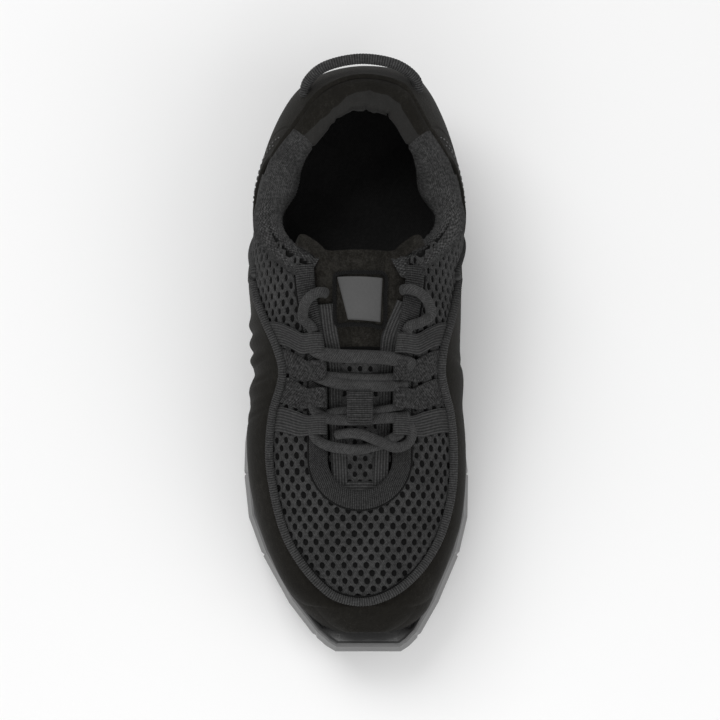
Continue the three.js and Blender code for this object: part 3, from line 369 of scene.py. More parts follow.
# Mesh building
def grid_faces(rows, columns, close_columns=False):
    last = columns if close_columns else columns - 1
    i, j = np.meshgrid(np.arange(rows - 1), np.arange(last), indexing="ij")
    a = i * columns + j
    b = i * columns + (j + 1) % columns
    return np.stack([a, b, b + columns, a + columns], -1).reshape(-1, 4)


def piece(name, points, faces, material, slot, uv=None, replaces=(), indices=None, flat=False):
    """Makes an object that rides on the shoe. Points, and uv's places on its cloth, are in millimetres."""
    points = (np.asarray(points, float).reshape(-1, 3) + SHIFT) * MM
    mesh = bpy.data.meshes.new(name)
    mesh.from_pydata(points.tolist(), [], faces.tolist() if hasattr(faces, "tolist") else faces)
    for one in material if isinstance(material, (list, tuple)) else [material]:
        mesh.materials.append(one)
    if indices is not None:
        mesh.polygons.foreach_set("material_index", np.asarray(indices, np.int32))
    if uv is not None:
        loops = np.empty(len(mesh.loops), np.int32)
        mesh.loops.foreach_get("vertex_index", loops)
        layer = mesh.uv_layers.new(name="place")
        layer.data.foreach_set("uv", np.asarray(uv, np.float32).reshape(-1, 2)[loops].ravel())
    mesh.validate()
    mesh.polygons.foreach_set("use_smooth", [not flat] * len(mesh.polygons))
    mesh.update()
    obj = bpy.data.objects.new(name, mesh)
    bpy.context.scene.collection.objects.link(obj)
    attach(obj, "root")
    if replaces:
        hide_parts(*replaces)
    return obj


def cloth_places(along, across):
    """Places on a cloth for a grid of points, from their distances along and across it."""
    return np.stack(np.meshgrid(along, across, indexing="ij"), -1)


def face_up(points, faces):
    """Turns all faces over where most of them look down or inwards."""
    p = points.reshape(-1, 3)
    f = np.asarray(faces)
    middle = p[f].mean(1)
    normal = np.cross(p[f[:, 1]] - p[f[:, 0]], p[f[:, 2]] - p[f[:, 0]])
    out = middle - (0, 5, 30)
    return f if (normal * out).sum() > 0 else f[:, ::-1]


def grid_piece(name, points, material, slot, uv, replaces=()):
    """A piece made of a grid of points."""
    faces = face_up(points, grid_faces(*points.shape[:2]))
    return piece(name, points, faces, material, slot, uv, replaces)


def arc_length(route):
    step = np.linalg.norm(np.diff(route, axis=0), axis=1)
    return np.concatenate([[0], np.cumsum(step)])


def even(route, spacing):
    """The same route at an even spacing."""
    run = arc_length(route)
    count = max(int(round(run[-1] / spacing)), 3)
    s = np.linspace(0, run[-1], count + 1)
    return np.stack([np.interp(s, run, route[:, k]) for k in range(3)], -1), s


def spline(points, per_span=12):
    """Smooth route through points."""
    p = np.asarray(points, float)
    p = np.concatenate([[2 * p[0] - p[1]], p, [2 * p[-1] - p[-2]]])
    t = np.linspace(0, 1, per_span, endpoint=False)[:, None]
    spans = []
    for i in range(1, len(p) - 2):
        a, b, c, d = p[i - 1], p[i], p[i + 1], p[i + 2]
        spans.append(0.5 * (2 * b + (c - a) * t + (2 * a - 5 * b + 4 * c - d) * t**2
                            + (3 * b - a - 3 * c + d) * t**3))
    return np.concatenate(spans + [p[-2:-1]])


def frames(route, up):
    """Directions across and out of a route, out being near up."""
    along = np.gradient(route, axis=0)
    along /= np.linalg.norm(along, axis=1)[:, None]
    raised = up - (up * along).sum(1)[:, None] * along
    raised /= np.linalg.norm(raised, axis=1)[:, None]
    return np.cross(along, raised), raised


def tube_faces(rows, columns):
    """Faces of a closed tube of rows, with both its ends."""
    faces = grid_faces(rows, columns, close_columns=True)[:, ::-1].tolist()
    final = (rows - 1) * columns
    return faces + [list(range(columns)), list(range(final, final + columns))[::-1]]


def rope(route, half, thick, sides=12, rib=0.0, pitch=1.2):
    """Round or flat cord along a route, with round ends, and ribs round it."""
    route, s = even(route, pitch / 4 if rib else 0.6)
    across, raised = frames(route, UP)
    a = 2 * np.pi * np.arange(sides) / sides
    inward = np.clip(1 - np.minimum(s, s[-1] - s) / thick, 0, 0.98)
    wave = (1 + rib * np.cos(2 * np.pi * s / pitch)) * np.clip(np.sqrt(1 - inward**2), 0.2, 1)
    sideways = half * np.cos(a)[None, :, None] * across[:, None]
    upwards = thick * np.sin(a)[None, :, None] * raised[:, None]
    points = route[:, None] + wave[:, None, None] * (sideways + upwards)
    uv = cloth_places(s, a * (half + thick) / 2)
    return points.reshape(-1, 3), tube_faces(len(route), sides), uv.reshape(-1, 2)


def band(route, width, thickness, up, rib, pitch, along_ribs=False):
    """Flat strap along a route, with rounded edges, and ribs across or along it."""
    route, s = even(route, min(pitch / 4, 0.7))
    if np.ndim(up) == 2:
        places = np.linspace(0, 1, len(up))
        up = np.stack([np.interp(np.linspace(0, 1, len(route)), places, up[:, k]) for k in range(3)], -1)
    across, raised = frames(route, up)
    count = 15
    flat = np.linspace(-1, 1, count)
    edge = np.sqrt(np.clip(1 - np.abs(flat) ** 8, 0.05, 1))
    v = np.concatenate([flat, flat[::-1]])
    n = np.concatenate([edge, -edge[::-1]])
    ribs_over = v[None] * width / 2 if along_ribs else s[:, None]
    height = thickness / 2 * n[None] * (1 + rib * np.cos(2 * np.pi * ribs_over / pitch))
    sideways = (width / 2 * v)[None, :, None] * across[:, None]
    points = route[:, None] + sideways + height[..., None] * raised[:, None]
    uv = cloth_places(s, v * width / 2)
    return points.reshape(-1, 3), tube_faces(len(route), len(v)), uv.reshape(-1, 2)


def made_piece(name, made, material, slot, *replaces):
    """A piece of what rope, band or join gives."""
    points, faces, uv = made
    return piece(name, points, faces, material, slot, uv, replaces)


def join(parts):
    """Several point and face sets as one."""
    points, faces, uvs, first = [], [], [], 0
    for p, f, uv in parts:
        points.append(p)
        uvs.append(uv)
        faces.extend([[v + first for v in face] for face in (f.tolist() if hasattr(f, "tolist") else f)])
        first += len(p)
    return np.concatenate(points), faces, np.concatenate(uvs)


# Materials
def grey(value, warm=0.0):
    """Colour of a grey given from 0 to 255 as seen on a screen. warm makes it browner."""
    def linear(v):
        v = v / 255
        return v / 12.92 if v <= 0.04045 else ((v + 0.055) / 1.055) ** 2.4
    return (linear(value + warm), linear(value), linear(value - 2 * warm), 1)


class Finish:
    """A node material with a few short ways to add and join its nodes."""

    def __init__(self, name, rough, coat=0.0, sheen=0.0, specular=0.15):
        self.material = bpy.data.materials.new(name)
        self.material.use_nodes = True
        self.tree = self.material.node_tree
        self.shader = self.tree.nodes["Principled BSDF"]
        self.shader.inputs["Roughness"].default_value = rough
        self.shader.inputs["Coat Weight"].default_value = coat
        self.shader.inputs["Coat Roughness"].default_value = 0.35
        self.shader.inputs["Sheen Weight"].default_value = sheen
        self.shader.inputs["Sheen Roughness"].default_value = 0.5
        self.shader.inputs["Specular IOR Level"].default_value = specular
        self.place = self.tree.nodes.new("ShaderNodeTexCoord")

    def join(self, source, target):
        self.tree.links.new(source, target)

    def noise(self, scale, detail=3.0, output="Object", stretch=(1, 1, 1)):
        node = self.tree.nodes.new("ShaderNodeTexNoise")
        node.inputs["Scale"].default_value = scale
        node.inputs["Detail"].default_value = detail
        mapping = self.tree.nodes.new("ShaderNodeMapping")
        mapping.inputs["Scale"].default_value = stretch
        self.join(self.place.outputs[output], mapping.inputs["Vector"])
        self.join(mapping.outputs["Vector"], node.inputs["Vector"])
        return node.outputs["Fac"]

    def math(self, operation, a, b=0.0):
        node = self.tree.nodes.new("ShaderNodeMath")
        node.operation = operation
        for socket, value in zip(node.inputs, (a, b)):
            if isinstance(value, (int, float)):
                socket.default_value = value
            else:
                self.join(value, socket)
        return node.outputs[0]

    def weighted(self, *terms):
        """Sum of values, each times its weight."""
        total = self.math("MULTIPLY", *terms[0])
        for value, weight in terms[1:]:
            total = self.math("ADD", total, self.math("MULTIPLY", value, weight))
        return total

    def centred(self, value, weight):
        """A value from 0 to 1 made to lie round 0, times its weight."""
        return self.math("MULTIPLY", self.math("SUBTRACT", value, 0.5), weight)

    def along(self, axis):
        node = self.tree.nodes.new("ShaderNodeSeparateXYZ")
        self.join(self.place.outputs["UV"], node.inputs[0])
        return node.outputs[axis]

    def wave(self, value, pitch):
        return self.math("SINE", self.math("MULTIPLY", value, 2 * math.pi / pitch))

    def colours(self, factor, stops):
        ramp = self.tree.nodes.new("ShaderNodeValToRGB")
        while len(ramp.color_ramp.elements) < len(stops):
            ramp.color_ramp.elements.new(0.5)
        for element, (position, colour) in zip(ramp.color_ramp.elements, stops):
            element.position = position
            element.color = colour
        self.join(factor, ramp.inputs["Fac"])
        self.join(ramp.outputs["Color"], self.shader.inputs["Base Color"])

    def relief(self, height, distance, strength=1.0):
        node = self.tree.nodes.new("ShaderNodeBump")
        node.inputs["Strength"].default_value = strength
        node.inputs["Distance"].default_value = distance * MM
        self.join(height, node.inputs["Height"])
        self.join(node.outputs["Normal"], self.shader.inputs["Normal"])


def knit(name, dark, light, along=0.9, across=0.9, relief=0.35, fuzz=0.5, sheen=0.04, warm=0.0):
    """Knit or woven cloth: small stitches along and across, and uneven yarn."""
    finish = Finish(name, 0.92, sheen=sheen)
    u, v = finish.along(0), finish.along(1)
    slant = finish.math("ADD", u, finish.math("MULTIPLY", v, 0.35))
    stitch = finish.math("MULTIPLY", finish.wave(slant, along), finish.wave(v, across))
    yarn = finish.centred(finish.noise(900, 2.0), 2 * fuzz)
    patch = finish.centred(finish.noise(60, 2.0), 0.5)
    height = finish.math("ADD", finish.math("MULTIPLY", stitch, 0.28), finish.math("ADD", yarn, patch))
    level = finish.math("ADD", height, 0.5)
    middle = (dark + light) / 2
    finish.colours(level, [(0.0, grey(dark, warm)), (0.5, grey(middle, warm)), (1.0, grey(light, warm))])
    finish.relief(level, relief)
    return finish.material


def ribbed(name, dark, light, pitch=1.0, axis=0, relief=0.4, fuzz=0.4):
    """Ribbed tape or knit: ribs along one direction, with a fine thread across them."""
    finish = Finish(name, 0.9, sheen=0.04)
    main, cross = finish.along(axis), finish.along(1 - axis)
    rib = finish.wave(main, pitch)
    thread = finish.math("MULTIPLY", finish.wave(cross, 0.7), 0.12)
    yarn = finish.centred(finish.noise(800, 2.0), 2 * fuzz)
    level = finish.math("ADD", finish.math("ADD", finish.math("MULTIPLY", rib, 0.26), thread),
                        finish.math("ADD", yarn, 0.5))
    finish.colours(level, [(0.05, grey(dark)), (0.55, grey((dark + light) / 2)), (1.0, grey(light))])
    finish.relief(level, relief)
    return finish.material


def suede(name, dark=24, light=58, warm=2.0, nap=1.0):
    """Suede: a fine nap, brushed patches and a few pale fibres."""
    finish = Finish(name, 0.96, sheen=0.05, specular=0.1)
    fine = finish.noise(1500, 3.0)
    patch = finish.noise(55, 3.0)
    fibre = finish.noise(600, 4.0, stretch=(1, 0.5, 1))
    level = finish.weighted((fine, 0.45 * nap), (patch, 0.35), (fibre, 0.35 * nap))
    middle = (2 * dark + light) / 3
    finish.colours(level, [(0.38, grey(dark, warm)), (0.62, grey(middle, warm)), (0.85, grey(light, warm))])
    finish.relief(level, 0.35)
    return finish.material


def rubber(name, dark, light, rough=0.5):
    finish = Finish(name, rough, coat=0.3, specular=0.6)
    grain = finish.noise(1200, 2.0)
    patch = finish.noise(40, 3.0)
    level = finish.weighted((grain, 0.3), (patch, 0.7))
    finish.colours(level, [(0.3, grey(dark)), (0.7, grey(light))])
    finish.relief(grain, 0.08)
    return finish.material


RUBBER = rubber("sole_rubber", 52, 72, 0.36)
SUEDE = suede("suede", 15, 42, 1.5)
TONGUE_SUEDE = suede("tongue_suede", 10, 40, 1.5, 1.3)
MESH = knit("air_mesh", 28, 76, 0.8, 0.8, 0.3, 0.55)
UNDERLAY = knit("underlay", 4, 14, 0.8, 0.8, 0.1, 0.4, 0.0)
LINING = knit("lining", 22, 46, 0.9, 0.9, 0.3)
SPACER = knit("spacer_knit", 14, 84, 2.2, 0.9, 0.6, 0.6)
MICROFIBRE = suede("microfibre", 36, 66, 0.5, 0.6)
INSOLE_CLOTH = knit("insole_cloth", 16, 42, 0.9, 0.9, 0.15, 0.35)
RIBBED_KNIT = ribbed("ribbed_knit", 18, 74, 0.95, 0, 0.5)
PIPING_KNIT = ribbed("piping_knit", 26, 78, 1.1, 0, 0.4)
WEBBING = ribbed("webbing", 26, 78, 1.25, 1, 0.4, 0.3)
SPECKLED = knit("speckled_strap", 12, 72, 1.1, 1.1, 0.5, 0.9)
LACE = knit("lace_knit", 28, 78, 1.0, 1.0, 0.4, 0.4)
PATCH = knit("patch_cloth", 72, 88, 0.5, 0.5, 0.1, 0.2)
THREAD = knit("thread", 60, 130, 0.5, 0.5, 0.2, 0.3)
# Black thread of the patch border, and the painted shadow cords beside the piping and the throat binding
BLACK_THREAD_AND_SHADOW = knit("black_thread_and_shadow", 6, 24, 0.5, 0.6, 0.3, 0.4)


# Lace ends, the free cords: they leave the top loops, arch towards the heel and go in beside the tongue
def strap_middle(index):
    return FIRST_STRAP_Y - index * STRAP_PITCH - (STRAP_PITCH - STRAP_GAP) / 2


def loop_middle(y):
    return throat_half(y) + LOOP_WIDTH / 2 - LOOP_OVERHANG


LACE_END_START = 1.2
CORD_SPACING = 1.5
LACE_ENDS = {
    # distances from the loop's end: outwards, towards the heel, and above LACE_HEIGHT
    -1: [(0, 0, 0), (1.5, 3, 1), (4.5, 6, 1.7), (4.6, 10, 2.4), (2.6, 14, 3.2),
         (-1, 16.4, 3.2), (-4.4, 17, 0.5), (-5.6, 16.8, -3.9)],
    1: [(0, 0, 0), (1.8, 3.2, 1), (6.5, 5, 1.5), (10.5, 8, 2), (10.4, 12, 2.6),
        (7.8, 15.8, 3.2), (3.6, 18, 3.4), (0, 18.6, 1.5), (-2.4, 18.4, -3)],
}


def lace_end(side, name):
    y = strap_middle(0) + LOOP_LENGTH / 2 + LACE_END_START
    x = float(loop_middle(y))
    table = [(x + out, y + heel, LACE_HEIGHT + rise) for out, heel, rise in LACE_ENDS[side]]
    route = spline([on_upper(side * px, py, n) for px, py, n in table])
    cord = rope(route, LACE_WIDTH / 2, LACE_THICKNESS / 2, 16)
    made = made_piece("lace_free_" + name, cord, LACE, "lace", "lace_end_" + name)
    path = ((even(route, CORD_SPACING)[0] + SHIFT) * MM).tolist()
    length = float(arc_length(np.array(path))[-1])


lace_end(-1, "lateral")
lace_end(1, "medial")


# Sole units
OUTLINE_STEP = 0.004
SOLE_INSET = 4.6
SOLE_ROWS = 170
SOLE_COLUMNS = 90
# Side of a sole unit: inset, rise in millimetres, and rise as a share of the height
SOLE_PROFILE = [
    (5.4, 0.0, 0.0), (4.6, 0.0, 0.0), (3.9, 0.5, 0.0), (1.3, 4.0, 0.0), (0.5, 0.0, 0.42), (0.0, 0.0, 0.6),
    (0.3, 0.0, 0.66), (2.0, 0.0, 0.93), (2.9, 0.0, 1.0), (3.6, 0.0, 1.01), (4.6, 0.0, 0.98), (5.4, 0.0, 0.9),
]


def outline_point(run, rows, at, side, inset):
    width = curve(rows, 1 if side < 0 else 2)
    a = np.maximum(at - OUTLINE_STEP, 0)
    b = np.minimum(at + OUTLINE_STEP, 1)
    tx = SOLE_WIDTH * (width(b) - width(a))
    ty = (run[1] - run[0]) * (b - a)
    size = np.hypot(tx, ty)
    nx, ny = ty / size, -tx / size
    ny = ny + np.where(at <= 0, -1, 0) + np.where(at >= 1, 1, 0)
    size = np.hypot(nx, ny)
    x = SOLE_WIDTH * width(at)
    y = run[0] + (run[1] - run[0]) * at
    return side * (x - inset * nx / size), y - inset * ny / size


def sole_unit(name, run, rows, seat, corners, tread):
    """Faceted sole: corners are the shares of its run where its outline has upright edges."""
    bottom, rim = curve(rows, 3), curve(rows, 4)
    at = np.unique(np.concatenate([np.linspace(0, 1, 120), corners]))
    knots = np.array(corners)
    columns = []
    for side in (-1, 1):
        for inset, rise, share in SOLE_PROFILE if side < 0 else SOLE_PROFILE[::-1]:
            reach = inset + 4.5 * (knots < 0.05) if inset > 5 and share > 0.5 else inset
            xs, ys = outline_point(run, rows, knots, side, reach)
            x = np.interp(at, knots, xs)
            y = np.interp(at, knots, ys)
            low = seat * np.maximum(bottom(at), 0)
            high = seat * rim(at)
            notch = sum(bump(at, c, 0.006) for c in knots[2:-2:2]) if 0.1 < share < 0.9 else 0
            z = low + np.minimum(rise, (high - low) / 3) + share * (high - low)
            columns.append(stack(x - side * 0.9 * notch, y, z))
    points = np.stack(columns, 1)
    count = points.shape[1]
    faces = grid_faces(len(at), count).tolist()
    final = (len(at) - 1) * count
    for j in range(count // 2 - 1):
        strip = [j, j + 1, count - 2 - j, count - 1 - j]
        faces.append(strip[::-1])
        faces.append([final + k for k in strip])
    parts = [(points.reshape(-1, 3), faces, points.reshape(-1, 3)[:, :2])]
    across = np.linspace(-1, 1, SOLE_COLUMNS)[None]
    at = np.linspace(0.0, 1.0, SOLE_ROWS)
    left_x, left_y = outline_point(run, rows, knots, -1, SOLE_INSET)
    right_x = outline_point(run, rows, knots, 1, SOLE_INSET)[0]
    left, right, y = [np.interp(at, knots, value)[:, None] for value in (left_x, right_x, left_y)]
    x = left + (right - left) * (across + 1) / 2
    z = seat * np.maximum(bottom(at), 0)[:, None] + tread(x, y) * smooth((1 - np.abs(across)) / 0.03)
    base = stack(x, y, z).reshape(-1, 3)
    parts.append((base, grid_faces(SOLE_ROWS, SOLE_COLUMNS), base[:, :2]))
    points, faces, uv = join(parts)
    return piece(name, points, faces, RUBBER, "sole", uv, flat=True)


def groove(distance, width=1.5, depth=2.0):
    return depth * smooth((width - np.abs(distance)) / 0.5)


def forefoot_tread(x, y):
    spot = np.hypot(x + 2, y + 72)
    cuts = np.max([groove(y - c - 0.08 * x) for c in (-104, -92, -52, -40)], 0)
    fine = 0.35 * np.maximum(0, np.cos(2 * np.pi * (y - 0.08 * x) / 3.0)) * (spot > 24)
    rings = 0.25 * np.maximum(0, np.cos(2 * np.pi * spot / 2.6)) * (spot < 19)
    return np.maximum(cuts * (spot > 23), groove(spot - 22.3)) + fine + rings


def heel_tread(x, y):
    cuts = np.max([groove(y - c + 0.05 * x) for c in (54, 68, 96, 110)], 0)
    return cuts + 0.35 * np.maximum(0, np.cos(2 * np.pi * (y + 0.05 * x) / 3.0))


FOREFOOT_CORNERS = [0.0, 0.02, 0.06, 0.18, 0.36, 0.5, 0.66, 0.78, 0.88, 0.96, 1.0]
HEEL_CORNERS = [0.0, 0.05, 0.14, 0.35, 0.55, 0.7, 0.82, 0.91, 0.97, 1.0]
forefoot = sole_unit("forefoot_rubber", FOREFOOT_RUN, FOREFOOT, BALL_SEAT, FOREFOOT_CORNERS, forefoot_tread)
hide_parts("forefoot_sole")
heel = sole_unit("heel_rubber", HEEL_RUN, HEEL, BALL_SEAT + HEEL_LIFT, HEEL_CORNERS, heel_tread)
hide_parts("heel_sole")


# Skins that follow the last
def last_grid(at, angle, offset):
    return last_point(at[:, None], angle[None], offset)


def keep_faces(points, faces, keep):
    """Drops the faces whose middle isn't kept."""
    middle = points.reshape(-1, 3)[faces].mean(1)
    return faces[keep(middle)]


def stations(count, low=0.0, high=1.0):
    """Shares of the last's length, close together at its round ends."""
    a, b = end_angle(low), end_angle(high)
    return (1 - np.cos(np.linspace(a, b, count))) / 2


def in_shell(p):
    """True on the wall: below the collar and outside the throat."""
    x, y, z = p[:, 0], p[:, 1], p[:, 2]
    collar = (y > y_of(COLLAR[0][0])) & (z > collar_height(y) - 0.5)
    throat = (outside_throat(x, y) < 0.7) & (z > BALL_SEAT + INSTEP_RISE / 3) & (y < THROAT_END + 30)
    return ~collar & ~throat


ANGLES = np.radians(np.linspace(-75, 255, 260))
AT = stations(300)
for name, offset, material, slot, hides in (("upper_backing", -0.05, UNDERLAY, "mesh", ["upper"]),
                                            ("upper_lining", -WALL, LINING, "lining", [])):
    skin = last_grid(AT, ANGLES, offset)
    faces = keep_faces(skin, grid_faces(len(AT), len(ANGLES)), in_shell)
    faces = faces[:, ::-1] if offset < -1 else faces
    uv = stack(skin[..., 1], ANGLES[None] * 40, 0)[..., :2]
    piece(name, skin, faces, material, slot, uv, hides)


# Suede mudguard
SUEDE_THICKNESS = 1.2
STITCH_HEIGHT = 2.15


def side_angle(angle):
    """Angle up from the widest height, and the side it is on."""
    side = np.where(np.cos(angle) >= 0, 1, -1)
    return np.where(side > 0, angle, math.pi - angle), side


def inside_piping(at, angle, margin=0.0):
    up, side = side_angle(angle)
    limit = np.where(side > 0, piping_angle(at, 1), piping_angle(at, -1))
    return (up > limit + margin) & (at > PIPING_START)


# Folds of the lateral suede, low down and near its edge: place along the shoe, height and width
RUCHES = [
    (13.0, 2.0, 5.0), (4.5, 2.2, 5.0), (-3.0, 1.8, 4.0), (-9.5, -0.8, 3.0), (-16.0, 1.2, 5.0),
    (-24.0, -0.7, 3.0),
]
PUCKERS = [(-3.0, -0.6, 1.6), (-11.0, -0.9, 2.2), (-20.0, 0.7, 3.0), (-26.0, -0.8, 2.0)]


def suede_relief(at, angle):
    """Puckers of the suede where the foot bends, and its soft swell beside the sole."""
    up, side = side_angle(angle)
    y = y_of(at)
    edge = np.where(side > 0, piping_angle(at, 1), piping_angle(at, -1))
    below = np.clip((edge - up) / 0.9, 0, 1.4)
    swell = 0.9 * np.sin(np.pi * np.clip(below, 0, 1))
    ruche = sum(h * bump(y, c, w) for c, h, w in RUCHES) * bump(below, 0.75, 0.7)
    slant = y + 6 * below
    pucker = sum(h * bump(slant, c, w) for c, h, w in PUCKERS) * bump(below, 0.35, 0.55)
    medial = 1.5 * bump(y, -11.0, 14.0) * bump(below, 0.7, 0.7)
    medial = medial - 0.6 * bump(slant, -1.0, 3.0) * bump(below, 0.5, 0.6)
    return swell + np.where(side < 0, ruche + pucker, medial)


at_grid = stations(340, 0.0, 0.80)[:, None]
angle_grid = np.radians(np.linspace(-72, 252, 330))[None]
relief = suede_relief(at_grid, angle_grid)
settled = 1 - 0.9 * smooth((at_grid - 0.6) / 0.1)
skin = last_point(at_grid, angle_grid, 0.25 + (SUEDE_THICKNESS + relief) * settled)
skin[..., 1] = np.maximum(skin[..., 1], TOE_Y - 0.2)
faces = grid_faces(*skin.shape[:2])
inside = inside_piping(at_grid, angle_grid, 0.02).ravel()
faces = faces[~inside[faces].any(1)]
piece("suede_mudguard", skin, faces, SUEDE, "suede", skin[..., :2], ["mudguard"])

# Piping, which sinks towards its ends
raised_route = piping_route(PIPING_OFFSET)
sunk = smooth((raised_route[:, 1:2] - y_of(PIPING_SINKS)) / PIPING_SINK_RUN)
route = raised_route * (1 - sunk) + piping_route(PIPING_SUNK) * sunk
piping_cord = rope(route, PIPING_HALF_WIDTH, PIPING_HALF_HEIGHT, rib=0.07, pitch=1.1)
made_piece("piping_knit", piping_cord, PIPING_KNIT, "webbing", "piping")

# Painted shadow: a black cord sunk in the groove between the piping and the mesh stands in for its shade
inner = np.array([0.0, 10.0, 0.0]) - route
inner[:, 2] = 0
inner /= np.linalg.norm(inner, axis=1)[:, None]
along_route = np.gradient(route, axis=0)
along_route /= np.linalg.norm(along_route, axis=1)[:, None]
inner -= (inner * along_route).sum(1)[:, None] * along_route
inner /= np.linalg.norm(inner, axis=1)[:, None]
shade = route + inner * 2.2 - UP * 1.0
flat = route[:, 1] < y_of(0.6)
made_piece("piping_shadow_groove", rope(shade[flat], 0.7, 0.45, 8), BLACK_THREAD_AND_SHADOW, "webbing")


# Mesh cloth: staggered holes, drawn in distance across and along the last
MESH_ACROSS = 5.0
MESH_ALONG = 3.45
MESH_OFFSET = 0.5
MESH_THROAT_GAP = 3.2
MESH_END_Y = 78
table_at = stations(240, 0.004, 0.97)
table_angle = np.linspace(math.pi / 2, -0.35, 160)
SIDE_TABLES = {}
for side in (-1, 1):
    turned = table_angle if side > 0 else math.pi - table_angle
    sheet = last_grid(table_at, turned, MESH_OFFSET)
    step = np.linalg.norm(np.diff(sheet, axis=1), axis=2)
    SIDE_TABLES[side] = np.concatenate([np.zeros((len(table_at), 1)), np.cumsum(step, 1)], 1)


def across_to_angle(at, across):
    """Angle of the section at a distance across the last from its top, positive to the medial side."""
    out = np.zeros_like(across)
    row = np.interp(at, table_at, np.arange(len(table_at)))
    low = np.clip(row.astype(int), 0, len(table_at) - 2)
    part = row - low
    for side in (-1, 1):
        mine = across >= 0 if side > 0 else across < 0
        runs = SIDE_TABLES[side]
        for i in np.unique(low[mine]):
            here = mine & (low == i)
            for k, share in ((i, 1 - part[here]), (i + 1, part[here])):
                out[here] += share * np.interp(np.abs(across[here]), runs[k], table_angle)
        if side < 0:
            out[mine] = math.pi - out[mine]
    return out


def mesh_cell(wide, tall, lift=0.55):
    """One cell: points round it and height, ring by ring, from its shared edge into its hole."""
    a, b, d = MESH_ACROSS / 2, MESH_ALONG / 2, 0.42
    edge = np.array([(-a, -b + d), (-a / 2, -b), (0, -b - d), (a / 2, -b), (a, -b + d), (a, 0),
                     (a, b - d), (a / 2, b), (0, b + d), (-a / 2, b), (-a, b - d), (-a, 0)])
    turn = np.arctan2(edge[:, 1] / tall, edge[:, 0] / wide)
    hole = np.stack([wide * np.cos(turn), tall * np.sin(turn)], -1)
    return [(edge, lift), (edge * 0.45 + hole * 0.55, lift + 0.12), (hole, lift - 0.18), (hole * 0.88, -0.1)]


def cell_centres(columns, rows, across):
    """Staggered middles of the cells, in plan."""
    return np.array([((c + 0.5 * (i % 2)) * across, y) for i, y in enumerate(rows) for c in columns])


def mesh_cloth(name, rings):
    """Mesh piece from the rings of all its cells, each with its points and their places in plan."""
    points, uv = [np.stack(sets, 1) for sets in zip(*rings)]
    count, rows, corners = points.shape[:3]
    starts = np.arange(count) * rows * corners
    faces = (grid_faces(rows, corners, close_columns=True)[None] + starts[:, None, None]).reshape(-1, 4)
    piece(name, points, face_up(points, faces), MESH, "mesh", uv)


centres = cell_centres(np.arange(-22, 23), np.arange(-113, 112, MESH_ALONG), MESH_ACROSS)
cell_at = share_of(centres[:, 1])
cell_angle = across_to_angle(cell_at, centres[:, 0])
cell_place = last_point(cell_at, cell_angle, MESH_OFFSET)
keep = inside_piping(cell_at, cell_angle, -0.03)
keep &= (cell_at < PIPING_FLANK) | (cell_place[:, 2] > piping_z(cell_at, 1) - 1)
keep &= outside_throat(cell_place[:, 0], cell_place[:, 1]) > MESH_THROAT_GAP
edge_margin = 0.3 + 1.9 * smooth((cell_place[:, 1] - 34) / 16)
below_collar = cell_place[:, 2] < collar_height(cell_place[:, 1]) - edge_margin
keep &= (cell_place[:, 1] < y_of(0.6)) | below_collar
keep &= cell_place[:, 1] < MESH_END_Y
centres = centres[keep]
count = len(centres)
size = RANDOM.uniform(0.9, 1.1, (count, 1))
narrow = 1 - 0.35 * smooth((centres[:, 1] - 10) / 30)
rings = []
for ring, (shape, height) in enumerate(mesh_cell(1.3, 1.75)):
    flat = shape[None] * np.where(ring > 1, size, 1)[..., None]
    if ring > 1:
        flat = flat * np.stack([narrow, np.ones(count)], -1)[:, None]
    place = centres[:, None] + flat
    at = share_of(place[..., 1])
    angle = across_to_angle(at.ravel(), place[..., 0].ravel()).reshape(at.shape)
    rings.append((last_point(at, angle, height), place))
mesh_cloth("air_mesh_cloth", rings)

# Ribbed binding round the throat
BINDING = [
    # growth of the throat's line, height above the upper, and place across the tape
    (-0.9, -3.0, 0), (-0.9, 0.2, 3), (-0.3, 1.2, 4), (0.8, 1.7, 5), (3.0, 1.8, 7), (5.5, 1.7, 9.5),
    (6.8, 1.4, 11), (7.4, 0.9, 12), (7.4, 0.0, 13),
]
BINDING_TOP = 3
lines = []
for grow, n, place in BINDING:
    line = throat_line(grow)
    lines.append(np.concatenate([line, np.full((len(line), 1), n)], 1))
run = arc_length(lines[BINDING_TOP])
count = int(run[-1] / 0.24)
s = np.linspace(0, run[-1], count)
share = s / run[-1]
cols = []
for line in lines:
    own = arc_length(line)
    p = np.stack([np.interp(share, own / own[-1], line[:, k]) for k in range(3)], -1)
    ribs = 0.22 * np.cos(2 * np.pi * s / 0.95) * (p[:, 2] > 0.5)
    cols.append(on_upper(p[:, 0], p[:, 1], p[:, 2] + ribs))
points = np.stack(cols, 1)
uv = cloth_places(s, [row[2] for row in BINDING])
grid_piece("throat_binding", points, RIBBED_KNIT, "webbing", uv)

# Painted shadow: a black cord along the binding's outer edge stands in for the shade between the binding and
# the mesh
binding_shadow_line = throat_line(7.7)
binding_shadow_line = binding_shadow_line[binding_shadow_line[:, 1] < THROAT_END - 4]
binding_shadow_cord = rope(on_upper(binding_shadow_line[:, 0], binding_shadow_line[:, 1], 0.65), 0.5, 0.35, 8)
made_piece("binding_shadow_edge", binding_shadow_cord, BLACK_THREAD_AND_SHADOW, "webbing")


# Suede heel counter
def counter_front(v):
    """Share of the length where the counter's front edge stands, from its foot to its top."""
    return share_of(44 + 18 * smooth(v / 0.55) + 24 * smooth((v - 0.5) / 0.5))


def counter_height(at, v):
    """Height of the counter at a share of its height, from just above the seat to just under the collar."""
    top = collar_height(y_of(at)) - 0.8
    low = section(at)[3] + 1.5
    return low + (top - low) * v


def inner_only(count):
    """1 for each of a row of points, but 0 for the first and the last."""
    level = np.ones(count)
    level[[0, -1]] = 0
    return level


